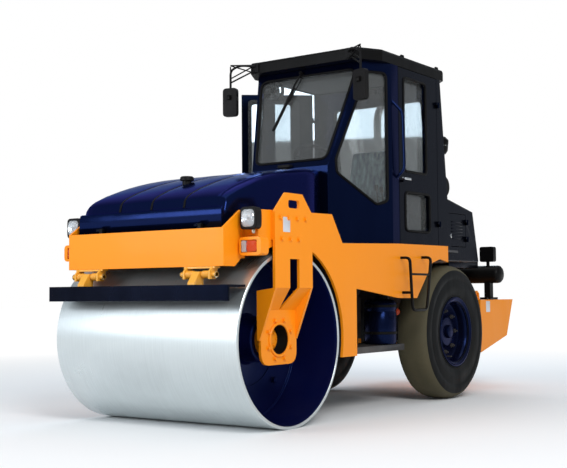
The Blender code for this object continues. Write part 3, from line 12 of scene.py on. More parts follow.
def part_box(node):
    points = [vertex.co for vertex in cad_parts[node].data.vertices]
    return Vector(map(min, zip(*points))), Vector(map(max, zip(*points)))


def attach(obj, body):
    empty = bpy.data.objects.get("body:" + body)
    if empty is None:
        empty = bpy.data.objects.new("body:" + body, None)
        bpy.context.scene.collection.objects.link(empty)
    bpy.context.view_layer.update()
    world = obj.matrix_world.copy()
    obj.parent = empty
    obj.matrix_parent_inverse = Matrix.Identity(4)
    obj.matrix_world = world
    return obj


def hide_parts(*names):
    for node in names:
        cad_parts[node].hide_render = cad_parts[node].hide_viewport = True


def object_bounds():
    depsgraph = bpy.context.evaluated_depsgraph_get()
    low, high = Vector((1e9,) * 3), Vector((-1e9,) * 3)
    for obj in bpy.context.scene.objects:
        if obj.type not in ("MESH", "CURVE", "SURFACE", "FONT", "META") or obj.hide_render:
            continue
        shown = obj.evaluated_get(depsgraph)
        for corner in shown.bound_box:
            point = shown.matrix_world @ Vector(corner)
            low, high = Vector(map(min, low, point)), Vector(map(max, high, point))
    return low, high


bl_info = {
    "name": "Road roller",
    "version": (1, 0, 0),
    "blender": (4, 5, 0),
    "location": "3D View > Sidebar > Roller",
    "description": "Builds the skins, fittings and finishes of a single drum road roller",
    "category": "Object",
}

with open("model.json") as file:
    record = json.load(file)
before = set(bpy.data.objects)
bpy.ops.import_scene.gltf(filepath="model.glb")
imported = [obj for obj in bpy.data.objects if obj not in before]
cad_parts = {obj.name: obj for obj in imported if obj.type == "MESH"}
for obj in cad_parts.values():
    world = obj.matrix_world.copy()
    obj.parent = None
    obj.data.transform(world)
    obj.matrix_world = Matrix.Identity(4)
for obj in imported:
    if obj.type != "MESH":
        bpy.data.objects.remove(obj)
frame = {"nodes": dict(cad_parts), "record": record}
CAD_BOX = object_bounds()
X = Vector((1, 0, 0))
Y = Vector((0, 1, 0))
Z = Vector((0, 0, 1))
SIDES = (("left", 1), ("right", -1))
TAU = math.tau


def low(node):
    return Vector(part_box(node)[0])


def high(node):
    return Vector(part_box(node)[1])


def middle(node):
    return (low(node) + high(node)) / 2


MID_X = middle("drum").x


# ------------------------------------------------------------------ properties

def colour(label, value, words):
    return FloatVectorProperty(name=label, description=words, subtype="COLOR", size=3, min=0, max=1,
                               default=value)


def length(label, value, words):
    return FloatProperty(name=label, description=words, unit="LENGTH", min=0, default=value)


class RollerColours(bpy.types.PropertyGroup):
    """Colours of the roller's finishes"""
    orange: colour("Orange enamel", (0.96, 0.290, 0.0035), "Frame plates, arms and rear box")
    navy: colour("Navy enamel", (0.0016, 0.0034, 0.0170), "Cab front, front hood, tanks and rims")
    # painted shade: the doors, cab rear, engine hood and scraper bar are the cab's navy paint, made darker
    shaded_navy: colour("Shaded navy enamel", (0.0008, 0.0011, 0.0024), "Doors, cab rear, engine hood and scraper bar")
    black: colour("Black paint", (0.0020, 0.0020, 0.0024), "Roof, rails and brackets")
    drum_inside: colour("Drum inside", (0.0007, 0.0022, 0.034), "Painted inside of the drum")
    steel: colour("Drum steel", (0.69, 0.745, 0.755), "Rolled face of the drum")
    yellow: colour("Yellow enamel", (0.86, 0.40, 0.030), "Scraper brackets and springs")
    rubber: colour("Tyre rubber", (0.0048, 0.0054, 0.0062), "Tyres")
    sheen: colour("Blue sheen", (0.10, 0.26, 1.0), "Tint of the dark enamels' reflections")
    dust: colour("Dust", (0.24, 0.19, 0.13), "Dust on the lower parts")
    cloth: colour("Seat cloth", (0.34, 0.52, 0.74), "Seat cover")
    glass: colour("Glass tint", (0.50, 0.515, 0.51), "Window glass")


class RollerSizes(bpy.types.PropertyGroup):
    """Sizes of the roller's fittings"""
    edge: length("Edge rounding", 0.004, "Rounding of plate edges")
    drum_wall: length("Drum wall", 0.025, "Thickness of the drum's shell")
    drum_recess: length("Drum recess", 0.382, "Depth of the drum's end disc inside the rim")
    disc: length("Drum disc", 0.020, "Thickness of the drum's end disc")
    boss: length("Drum boss", 0.160, "Radius of the boss on the drum's disc")
    boss_depth: length("Boss depth", 0.160, "Height of the boss over the disc")
    bore: length("Drum bore", 0.115, "Radius of the bearing bore in the boss")
    bolt: length("Bolt width", 0.024, "Width across flats of the frame bolts")
    gasket: length("Gasket", 0.0115, "Radius of the window gaskets")
    rim_flange: length("Rim flange", 0.298, "Radius of the wheel rim's flange")
    hood_lip: length("Hood shoulder", 0.060, "Radius of the hood's side shoulders")
    lobe: length("Hood lobe", 0.011, "Height of the pressed lobes in the hood")
    hub_bolts: IntProperty(name="Hub bolts", description="Bolts on a bearing flange", min=3, default=8)
    wheel_bolts: IntProperty(name="Wheel bolts", description="Bolts on a wheel hub", min=3, default=8)
    fan_blades: IntProperty(name="Fan blades", description="Blades of the cab fan", min=2, default=5)


def sizes():
    return bpy.context.scene.roller_sizes


def colours():
    return bpy.context.scene.roller_colours


# ------------------------------------------------------------------ shader groups

def feed(tree, node, values):
    """Link inputs of a node to sockets, or set them to values."""
    for label, value in values.items():
        socket = node.inputs[label]
        if isinstance(value, bpy.types.NodeSocket):
            tree.links.new(value, socket)
        else:
            socket.default_value = (*value, 1) if socket.type == "RGBA" else value


def wired(tree, kind, out, values, **settings):
    """Output of a new shader node with its inputs linked or set."""
    node = tree.nodes.new("ShaderNode" + kind)
    for label, value in settings.items():
        setattr(node, label, value)
    feed(tree, node, values)
    return node.outputs[out]


def place(tree):
    return wired(tree, "TexCoord", "Object", {})


def noise(tree, where, scale, detail=3.0, stretch=(1, 1, 1)):
    """Noise value on coordinates, stretched by a mapping."""
    mapped = wired(tree, "Mapping", "Vector", {"Vector": where, "Scale": stretch})
    return wired(tree, "TexNoise", "Fac", {"Vector": mapped, "Scale": scale, "Detail": detail})


def ranged(tree, value, low_in, high_in, low_out, high_out):
    """Value mapped from one range to another, clamped."""
    return wired(tree, "MapRange", "Result", {"Value": value, "From Min": low_in, "From Max": high_in,
                                              "To Min": low_out, "To Max": high_out})


def maths(tree, operation, *values):
    return wired(tree, "Math", "Value", dict(enumerate(values)), operation=operation)


def blended(tree, mask, first, second):
    """Mix of two colours by a mask."""
    return wired(tree, "Mix", 2, {0: mask, 6: first, 7: second}, data_type="RGBA")


def bumped(tree, height, strength, distance):
    return wired(tree, "Bump", "Normal", {"Height": height, "Strength": strength, "Distance": distance})


def new_group(name, inputs, outputs):
    """Node group with named sockets; returns it with what it takes and the node that gives."""
    tree = bpy.data.node_groups.new(name, "ShaderNodeTree")
    for label, value in inputs.items():
        kind = "NodeSocketColor" if isinstance(value, tuple) else "NodeSocketFloat"
        tree.interface.new_socket(name=label, in_out="INPUT", socket_type=kind).default_value = value
    for label, kind in outputs.items():
        tree.interface.new_socket(name=label, in_out="OUTPUT", socket_type="NodeSocket" + kind)
    return tree, tree.nodes.new("NodeGroupInput").outputs, tree.nodes.new("NodeGroupOutput")


def dusty_group(name):
    """Dust that thins out with height: a colour and a roughness."""
    tree, take, give = new_group(
        name, {"Color": (0.5, 0.5, 0.5, 1), "Dust Color": (0.2, 0.2, 0.2, 1), "Dust": 0.3, "Height": 1.2,
               "Smooth": 0.25, "Rough": 0.35}, {"Color": "Color", "Roughness": "Float"})
    where = place(tree)
    height = wired(tree, "SeparateXYZ", "Z", {0: where})
    fall = ranged(tree, height, 0.0, take["Height"], 1.0, 0.06)
    patches = ranged(tree, noise(tree, where, 3.1, 8.0), 0.36, 0.72, 0.15, 1.0)
    specks = ranged(tree, noise(tree, where, 60.0, 4.0), 0.35, 0.75, 0.5, 1.0)
    mask = maths(tree, "MULTIPLY", maths(tree, "MULTIPLY", fall, patches),
                 maths(tree, "MULTIPLY", specks, take["Dust"]))
    clouds = ranged(tree, noise(tree, where, 1.3, 2.0), 0.3, 0.7, 0.0, 0.15)
    tone = maths(tree, "MULTIPLY", clouds, take["Dust"])
    toned = blended(tree, tone, take["Color"], take["Dust Color"])
    streaks = noise(tree, where, 9.0, 5.0, (1.0, 1.0, 0.25))
    rough = ranged(tree, streaks, 0.3, 0.7, take["Smooth"], take["Rough"])
    feed(tree, give, {"Color": blended(tree, mask, toned, take["Dust Color"]),
                      "Roughness": maths(tree, "ADD", rough, maths(tree, "MULTIPLY", mask, 0.45))})
    return tree


def grain_group(name):
    """Fine all-over grain as a normal, such as orange peel, casting sand or rubber."""
    tree, take, give = new_group(name, {"Scale": 400.0, "Strength": 0.1},
                                 {"Normal": "Vector", "Height": "Float"})
    grain = noise(tree, place(tree), take["Scale"])
    feed(tree, give, {"Height": grain, "Normal": bumped(tree, grain, take["Strength"], 0.002)})
    return tree


def brushed_group(name):
    """Brush lines round a lateral axis: a tone, a roughness and a normal."""
    tree, take, give = new_group(name, {"Scale": 300.0, "Strength": 0.1},
                                 {"Tone": "Float", "Roughness": "Float", "Normal": "Vector"})
    where = place(tree)
    lines = noise(tree, where, take["Scale"], 6.0, (1.0, 0.02, 0.02))
    stains = noise(tree, where, 2.2, 6.0)
    tone = maths(tree, "ADD", maths(tree, "MULTIPLY", lines, 0.35), maths(tree, "MULTIPLY", stains, 0.65))
    feed(tree, give, {"Tone": ranged(tree, tone, 0.3, 0.7, 0.0, 1.0),
                      "Roughness": ranged(tree, tone, 0.3, 0.7, 0.24, 0.42),
                      "Normal": bumped(tree, lines, take["Strength"], 0.001)})
    return tree


GROUPS = {"dusty surface": dusty_group, "surface grain": grain_group, "brushed lines": brushed_group}


def group_node(tree, name, values):
    """Outputs of a node of a shared group, with its inputs set."""
    node = tree.nodes.new("ShaderNodeGroup")
    node.node_tree = bpy.data.node_groups.get(name) or GROUPS[name](name)
    feed(tree, node, values)
    return node.outputs


# ------------------------------------------------------------------ finishes

HOOD_PAINTED_LIGHT = 2.8    # painted light: the front hood is the cab's navy, painted this much lighter
DULL_STEEL = 0.80  # tone of the drum's dull brush lines


def material(name):
    """New node material: the material, its tree and its Principled BSDF."""
    made = bpy.data.materials.new(name)
    made.use_nodes = True
    return made, made.node_tree, made.node_tree.nodes["Principled BSDF"]


def dusty(name, tint, dust, height, smooth, rough, dust_tint=None):
    """Material with dust on its lower parts, returned as material() does."""
    made, tree, shader = material(name)
    body = group_node(tree, "dusty surface", {
        "Color": tint, "Dust Color": dust_tint or colours().dust, "Dust": dust, "Height": height,
        "Smooth": smooth, "Rough": rough})
    feed(tree, shader, {"Base Color": body["Color"], "Roughness": body["Roughness"]})
    return made, tree, shader


def enamel(name, paint, dust, smooth, rough, coat, peel=0.05, height=1.5, metallic=0.0, specular=0.5,
           sheen=(1, 1, 1)):
    """Sprayed enamel with dust low down and a faint orange peel."""
    made, tree, shader = dusty(name, paint, dust, height, smooth, rough)
    grain = group_node(tree, "surface grain", {"Scale": 260.0, "Strength": peel})
    feed(tree, shader, {"Normal": grain["Normal"], "Coat Weight": coat, "Coat Roughness": 0.08,
                        "Specular IOR Level": specular, "Specular Tint": sheen, "Metallic": metallic})
    return made


def drum_steel():
    made, tree, shader = material("rolled steel")
    lines = group_node(tree, "brushed lines", {"Scale": 220.0, "Strength": 0.06})
    dull = [value * DULL_STEEL for value in colours().steel]
    feed(tree, shader, {"Base Color": blended(tree, lines["Tone"], colours().steel, dull),
                        "Roughness": lines["Roughness"], "Normal": lines["Normal"], "Metallic": 0.82})
    return made


def bright_metal(name="bright metal", tint=(0.80, 0.81, 0.82), smooth=0.12, rough=0.24):
    made, tree, shader = dusty(name, tint, 0.12, 3.0, smooth, rough, (0.30, 0.27, 0.24))
    feed(tree, shader, {"Metallic": 1.0})
    return made


def tyre_rubber(name="tyre rubber", tint=None, dust=0.05):
    """Rubber with dust, fine grain and small scuffs."""
    made, tree, shader = dusty(name, tint or colours().rubber, dust, 1.5, 0.50, 0.75, (0.150, 0.125, 0.070))
    grain = group_node(tree, "surface grain", {"Scale": 180.0, "Strength": 0.35})
    scuffs = noise(tree, place(tree), 26.0, 8.0, (2.5, 1.0, 1.0))
    height = maths(tree, "ADD", maths(tree, "MULTIPLY", scuffs, 0.7),
                   maths(tree, "MULTIPLY", grain["Height"], 0.3))
    feed(tree, shader, {"Normal": bumped(tree, height, 0.30, 0.003), "Specular IOR Level": 0.16})
    return made


def plain_rubber():
    made, tree, shader = dusty("gasket rubber", (0.0035, 0.0035, 0.004), 0.02, 3.0, 0.42, 0.58)
    grain = group_node(tree, "surface grain", {"Scale": 500.0, "Strength": 0.08})
    feed(tree, shader, {"Normal": grain["Normal"], "Specular IOR Level": 0.09})
    return made


def moulded_plastic():
    """Moulded plastic with a leather-like grain."""
    made, tree, shader = dusty("moulded plastic", (0.0055, 0.0055, 0.0065), 0.06, 3.0, 0.38, 0.55)
    cells = wired(tree, "TexVoronoi", "Distance", {"Vector": place(tree), "Scale": 420.0})
    feed(tree, shader, {"Normal": bumped(tree, cells, 0.25, 0.0008), "Specular IOR Level": 0.11})
    return made


def window_glass(name="window glass", tint=None, rough=0.02, clear=0.90):
    made, tree, shader = material(name)
    haze = ranged(tree, noise(tree, place(tree), 7.0, 5.0), 0.35, 0.75, rough, rough + 0.03)
    feed(tree, shader, {"Roughness": haze, "Base Color": tint or colours().glass,
                        "Transmission Weight": clear, "IOR": 1.45})
    return made


def wave(tree, where, pitch, direction):
    return wired(tree, "TexWave", "Fac", {"Vector": where, "Scale": pitch}, bands_direction=direction)


def ribbed_lens(name, tint, pitch, weight):
    """Moulded lamp lens with upright ribs."""
    made, tree, shader = material(name)
    ribs = wave(tree, place(tree), pitch, "X")
    feed(tree, shader, {"Normal": bumped(tree, ribs, 0.6, 0.002),
                        "Roughness": ranged(tree, ribs, 0, 1, 0.05, 0.14),
                        "Base Color": tint, "Transmission Weight": weight})
    return made


def blank_plate():
    made, tree, shader = dusty("blank plate", (0.72, 0.74, 0.78), 0.10, 3.0, 0.30, 0.45)
    feed(tree, shader, {"Metallic": 0.4})
    return made


def seat_cloth():
    """Crinkled, streaky seat cover with a fine weave: painted highlight on the crease crests, and streaky
    tone.
    """
    made, tree, shader = material("seat cover")
    where = place(tree)
    creases = noise(tree, where, 16.0, 7.0, (2.2, 1.0, 0.6))
    blotches = noise(tree, where, 34.0, 5.0, (1.0, 1.0, 0.45))
    # lighter where the crease noise is high: painted highlight on the fold crests, mixed with streaky tone
    # from the blotches
    mask = ranged(tree, maths(tree, "MULTIPLY", creases, blotches), 0.16, 0.40, 0.0, 1.0)
    pale = [min(1.0, value * 1.9 + 0.03) for value in colours().cloth]
    deep = [value * 0.60 for value in colours().cloth]
    threads = maths(tree, "MAXIMUM", wave(tree, where, 160.0, "Z"), wave(tree, where, 160.0, "X"))
    height = maths(tree, "ADD", maths(tree, "MULTIPLY", threads, 0.10), creases)
    feed(tree, shader, {"Base Color": blended(tree, mask, deep, pale),
                        "Normal": bumped(tree, height, 0.75, 0.008),
                        "Roughness": ranged(tree, mask, 0, 1, 0.75, 0.45), "Sheen Weight": 0.3})
    return made


def headliner():
    made, tree, shader = material("cab lining")
    felt = noise(tree, place(tree), 320.0, 4.0)
    tone = ranged(tree, felt, 0.3, 0.7, 0, 1)
    feed(tree, shader, {"Base Color": blended(tree, tone, (0.16, 0.18, 0.20), (0.23, 0.25, 0.27)),
                        "Normal": bumped(tree, felt, 0.3, 0.001),
                        "Roughness": ranged(tree, felt, 0.3, 0.7, 0.8, 0.95)})
    return made


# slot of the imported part, and recipe of the material
FINISHES = {
    "orange": ("orange_paint", lambda: enamel(
        "orange enamel", colours().orange, 0.06, 0.32, 0.44, 0.04, specular=0.22)),
    "navy": ("black_paint", lambda: enamel(
        "navy enamel", colours().navy, 0.02, 0.14, 0.24, 0.0, 0.03, metallic=0.55, sheen=colours().sheen)),
    # painted light: a lighter copy of the navy enamel for the hood
    "hood": ("black_paint", lambda: enamel(
        "lit navy enamel", [value * HOOD_PAINTED_LIGHT for value in colours().navy], 0.02, 0.12, 0.22, 0.0, 0.03,
        metallic=0.8, specular=0.6, sheen=colours().sheen)),
    # painted shade: a darker copy of the navy enamel
    "shaded_navy": ("black_paint", lambda: enamel(
        "shaded navy enamel", colours().shaded_navy, 0.02, 0.18, 0.30, 0.0, 0.04, specular=0.13, sheen=colours().sheen)),
    "black": ("black_paint", lambda: enamel(
        "black paint", colours().black, 0.05, 0.34, 0.50, 0.0, 0.12, specular=0.10)),
    "yellow": ("yellow_paint", lambda: enamel(
        "yellow enamel", colours().yellow, 0.30, 0.32, 0.48, 0.2, 0.15)),
    "rim": ("navy_paint", lambda: enamel(
        "rim enamel", colours().navy, 0.04, 0.18, 0.34, 0.0, 0.06, 1.0, metallic=0.4, specular=0.4,
        sheen=colours().sheen)),
    "drum inside": ("drum_steel", lambda: enamel(
        "drum inside enamel", colours().drum_inside, 0.03, 0.28, 0.42, 0.04, 0.08, 0.9,
        sheen=colours().sheen)),
    "liner": ("black_paint", lambda: enamel(
        "liner enamel", (0.010, 0.012, 0.020), 0.55, 0.40, 0.60, 0.1, 0.2, 1.4)),
    "casting": ("cast_parts", lambda: enamel(
        "dark casting", (0.030, 0.030, 0.033), 0.45, 0.50, 0.70, 0.0, 0.5, 1.2, 0.3)),
    "steel": ("drum_steel", drum_steel),
    "bright": ("bright_pipe", bright_metal),
    "zinc": ("bright_pipe", lambda: bright_metal("zinc plate", (0.55, 0.52, 0.42), 0.30, 0.45)),
    "tyre": ("tyre_rubber", tyre_rubber),
    "tread": ("tyre_rubber", lambda: tyre_rubber("tread rubber", (0.074, 0.066, 0.040), 0.65)),
    "rubber": ("black_paint", plain_rubber),
    "plastic": ("black_paint", moulded_plastic),
    "glass": ("clear_glass", window_glass),
    "bowl": ("clear_glass", lambda: window_glass("clear bowl", (0.86, 0.93, 0.96), 0.05, 0.45)),
    "clear lens": ("clear_glass", lambda: ribbed_lens("clear lens", (0.86, 0.91, 0.95), 60.0, 0.6)),
    "red lens": ("clear_glass", lambda: ribbed_lens("red lens", (0.80, 0.070, 0.006), 90.0, 0.25)),
    "reflector": ("bright_pipe", lambda: bright_metal("reflector", (0.85, 0.87, 0.90), 0.05, 0.15)),
    "mirror": ("bright_pipe", lambda: bright_metal("mirror glass", (0.86, 0.88, 0.90), 0.02, 0.05)),
    "plate": ("bright_pipe", blank_plate),
    "cloth": ("seat_cloth", seat_cloth),
    "lining": ("black_paint", headliner),
}
_made = {}


def finish(name):
    """The material of a finish, made once."""
    if name not in _made:
        _made[name] = FINISHES[name][1]()
    return _made[name]


# ------------------------------------------------------------------ modelling

MERGE = 1e-5  # corners nearer than this are one

def along(direction):
    """Matrix that turns +Z to a direction."""
    return Vector(direction).to_track_quat("Z", "Y").to_matrix().to_4x4()


def round_edges(bm, edges, width, segments=2):
    if width > 0 and edges:
        bmesh.ops.bevel(bm, geom=list(edges), offset=width, affect="EDGES", segments=segments, profile=0.5,
                        material=-1, clamp_overlap=True)


def add_box(bm, start, end, width=0.002, segments=2):
    """Block between two corners, with rounded edges."""
    start, end = Vector(start), Vector(end)
    size = Vector([abs(b - a) for a, b in zip(start, end)])
    matrix = Matrix.Translation((start + end) / 2) @ Matrix.Diagonal((*size, 1))
    made = bmesh.ops.create_cube(bm, size=1.0, matrix=matrix)["verts"]
    edges = {edge for vert in made for edge in vert.link_edges}
    round_edges(bm, edges, min(width, min(size) * 0.45), segments)


def add_rod(bm, start, end, radius, sides=24, width=0.0, tip=None):
    """Round bar or cone from one point to another."""
    start, end = Vector(start), Vector(end)
    matrix = Matrix.Translation((start + end) / 2) @ along(end - start)
    made = bmesh.ops.create_cone(bm, cap_ends=True, cap_tris=False, segments=sides, radius1=radius,
                                 radius2=radius if tip is None else tip, depth=(end - start).length,
                                 matrix=matrix)["verts"]
    caps = {edge for vert in made for edge in vert.link_edges
            if len(edge.link_faces) == 2 and sorted(len(f.verts) for f in edge.link_faces)[1] == sides}
    round_edges(bm, caps, width)


def add_turned(bm, profile, centre, axis, steps=48, closed=False):
    """Form spun about an axis from (radius, distance) points."""
    axis = Vector(axis).normalized()
    side = Z if abs(axis.z) < 0.9 else X
    out = side.cross(axis).normalized()
    centre = Vector(centre)
    verts = [bm.verts.new(centre + out * radius + axis * distance) for radius, distance in profile]
    pairs = list(zip(verts, verts[1:]))
    if closed:
        pairs.append((verts[-1], verts[0]))
    edges = [bm.edges.new(pair) for pair in pairs]
    bmesh.ops.spin(bm, geom=verts + edges, cent=centre, axis=axis, angle=TAU, steps=steps,
                   use_merge=True, use_duplicate=False)
    bmesh.ops.remove_doubles(bm, verts=bm.verts, dist=1e-6)


def bead(radius, level, thick, sides=8):
    """Round section of a ring, as (radius, distance) points for add_turned."""
    return [(radius + thick * math.cos(TAU * k / sides), level + thick * math.sin(TAU * k / sides))
            for k in range(sides)]


def add_bolt(bm, centre, axis, across, tall):
    """Hexagon head on a washer."""
    centre, axis = Vector(centre), Vector(axis).normalized()
    washer = tall * 0.25
    add_rod(bm, centre, centre + axis * washer, across * 0.72, 20, washer * 0.3)
    add_rod(bm, centre + axis * washer, centre + axis * tall, across * 0.577, 6, across * 0.04)


def add_bolt_ring(bm, centre, side, ring, count, across, tall, phase=0.0):
    """Bolts spread evenly round a lateral axis."""
    for k in range(count):
        turn = TAU * (k + phase) / count
        add_bolt(bm, (centre[0], centre[1] + ring * math.cos(turn), centre[2] + ring * math.sin(turn)),
                 X * side, across, tall)


def riding(name, data, body):
    """Object of a mesh or curve that rides a body."""
    made = bpy.data.objects.new(name, data)
    bpy.context.scene.collection.objects.link(made)
    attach(made, body)
    return made


def piece(bm, name, body, kind, also=(), replaces=(), smooth=35.0, recalc=False):
    """Finished mesh piece that rides a body and takes a finish."""
    if recalc:
        bmesh.ops.recalc_face_normals(bm, faces=bm.faces)
    mesh = bpy.data.meshes.new(name)
    bm.to_mesh(mesh)
    bm.free()
    mesh.shade_smooth()
    mesh.set_sharp_from_angle(angle=math.radians(smooth))
    for each in (kind, *also):
        mesh.materials.append(finish(each))
    made = riding(name, mesh, body)
    if replaces:
        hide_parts(*replaces)
    return made


def turned(name, body, kind, profile, centre, axis, steps, closed=False, **others):
    """Piece that is one form spun about an axis."""
    bm = bmesh.new()
    add_turned(bm, profile, centre, axis, steps, closed)
    return piece(bm, name, body, kind, recalc=True, **others)


def sweep(name, runs, radius, body, kind, closed=False):
    """Round bead, tube or wire along one or more runs of points."""
    curve = bpy.data.curves.new(name, "CURVE")
    curve.dimensions = "3D"
    curve.bevel_depth = radius
    curve.bevel_resolution = 3
    curve.use_fill_caps = True
    for points in runs:
        spline = curve.splines.new("POLY")
        spline.points.add(len(points) - 1)
        for knot, place_at in zip(spline.points, points):
            knot.co = (*place_at, 1)
        spline.use_cyclic_u = closed
        spline.use_smooth = True
    curve.materials.append(finish(kind))
    return riding(name, curve, body)


def welded(node):
    """Copy of a CAD node as a mesh with shared corners."""
    bm = bmesh.new()
    bm.from_mesh(frame["nodes"][node].data)
    bmesh.ops.remove_doubles(bm, verts=bm.verts, dist=MERGE)
    return bm


def merged(node):
    """The same, with no lines across its flats."""
    bm = welded(node)
    bmesh.ops.dissolve_limit(bm, angle_limit=math.radians(0.6), verts=bm.verts, edges=bm.edges,
                             use_dissolve_boundaries=False)
    return bm


def refined(node, kind, width=None, angle=32.0):
    """Skin over a CAD node with softened edges, which stands for it."""
    bm = merged(node)
    body = next(b for b, nodes in frame["record"]["behaviour"]["bodies"].items() if node in nodes)
    made = piece(bm, node + "_skin", body, kind, replaces=(node,), smooth=angle)
    width = sizes().edge if width is None else width
    if width > 0:
        rounding = made.modifiers.new("rounded edges", "BEVEL")
        rounding.width = width
        rounding.segments = 2
        rounding.limit_method = "ANGLE"
        rounding.angle_limit = math.radians(angle)
        rounding.use_clamp_overlap = True
        rounding.harden_normals = True
    return made


def face_loops(node, direction):
    """Edge loops, longest first, of the widest flat face of a CAD node that looks in a direction."""
    direction = Vector(direction).normalized()
    bm = welded(node)
    bm.normal_update()
    planes = {}
    for face in bm.faces:
        if face.normal.dot(direction) > 0.9995:
            level = round(face.calc_center_median().dot(direction), 3)
            planes.setdefault(level, []).append(face)
    level = max(planes, key=lambda each: sum(face.calc_area() for face in planes[each]))
    flat = {face for each in planes for face in planes[each] if abs(each - level) < 0.0015}
    rim = {edge for face in flat for edge in face.edges
           if sum(other in flat for other in edge.link_faces) == 1}
    loops = []
    while rim:
        edge = rim.pop()
        start, here = edge.verts
        loop = [start.co.copy()]
        while here is not start:
            loop.append(here.co.copy())
            step = next((e for e in here.link_edges if e in rim), None)
            if step is None:
                break
            rim.discard(step)
            here = step.other_vert(here)
        loops.append(loop)
    bm.free()
    return sorted(loops, key=around, reverse=True)


def around(loop):
    """Length of a closed loop of points."""
    return sum((a - b).length for a, b in zip(loop, loop[1:] + loop[:1]))


def main_normal(node, towards):
    """Normal of the widest flat face of a CAD node that looks roughly in a direction."""
    areas = {}
    for face in frame["nodes"][node].data.polygons:
        if face.normal.dot(Vector(towards)) > 0.4:
            key = tuple(round(value, 3) for value in face.normal)
            areas[key] = areas.get(key, 0.0) + face.area
    return Vector(max(areas, key=areas.get)).normalized()


def joint_of(name):
    return next(joint for joint in frame["record"]["behaviour"]["joints"] if joint["name"] == name)


class Builder:
    bl_options = {"REGISTER", "UNDO"}

    def execute(self, context):
        self.build()
        return {"FINISHED"}


# ------------------------------------------------------------------ drum

class ROLLER_OT_drum(Builder, bpy.types.Operator):
    """Smooth steel drum with painted recesses and welded end discs"""
    bl_idname = "roller.drum"
    bl_label = "Drum"

    def build(self):
        size = sizes()
        centre = middle("drum")
        half = (high("drum").x - low("drum").x) / 2
        radius = (high("drum").z - low("drum").z) / 2
        inside = radius - size.drum_wall
        face = half - size.drum_recess
        chamfer = 0.004
        end = [(size.bore, face - size.disc), (size.bore, face + size.boss_depth - 0.006),
               (size.bore + 0.006, face + size.boss_depth), (size.boss - 0.010, face + size.boss_depth),
               (size.boss, face + size.boss_depth - 0.010), (size.boss, face + 0.020),
               (size.boss + 0.020, face), (inside - 0.012, face), (inside, face + 0.012),
               (inside, half - 0.030), (inside + 0.003, half - chamfer), (inside + 0.006, half),
               (radius - chamfer, half), (radius, half - chamfer)]
        profile = end + [(r, -d) for r, d in reversed(end)]
        profile += [(inside, -(face - size.disc)), (inside, face - size.disc)]
        bm = bmesh.new()
        add_turned(bm, profile, centre, X, 160, closed=True)
        bmesh.ops.recalc_face_normals(bm, faces=bm.faces)
        for part in bm.faces:
            spot = part.calc_center_median() - centre
            out = math.hypot(spot.y, spot.z)
            worn = out > inside + 0.002 and abs(spot.x) > half - 0.028
            part.material_index = 0 if out > radius - 0.008 or worn else 1
        piece(bm, "drum_shell", "drum", "steel", ("drum inside",), ("drum",))
        self.welds(centre, inside, face)

    def welds(self, centre, inside, face):
        """Weld beads where the discs meet the shell, a seam and the bolts on the discs."""
        for name, side in SIDES:
            bm = bmesh.new()
            for section in (bead(inside - 0.010, face + 0.010, 0.006), bead(0.330, face + 0.002, 0.004)):
                add_turned(bm, section, centre, X * side, 96, closed=True)
            add_bolt_ring(bm, centre + X * side * face, side, 0.430, 4, 0.036, 0.026, 0.5)
            piece(bm, "drum_welds_" + name, "drum", "drum inside", recalc=True)


# ------------------------------------------------------------------ wheels

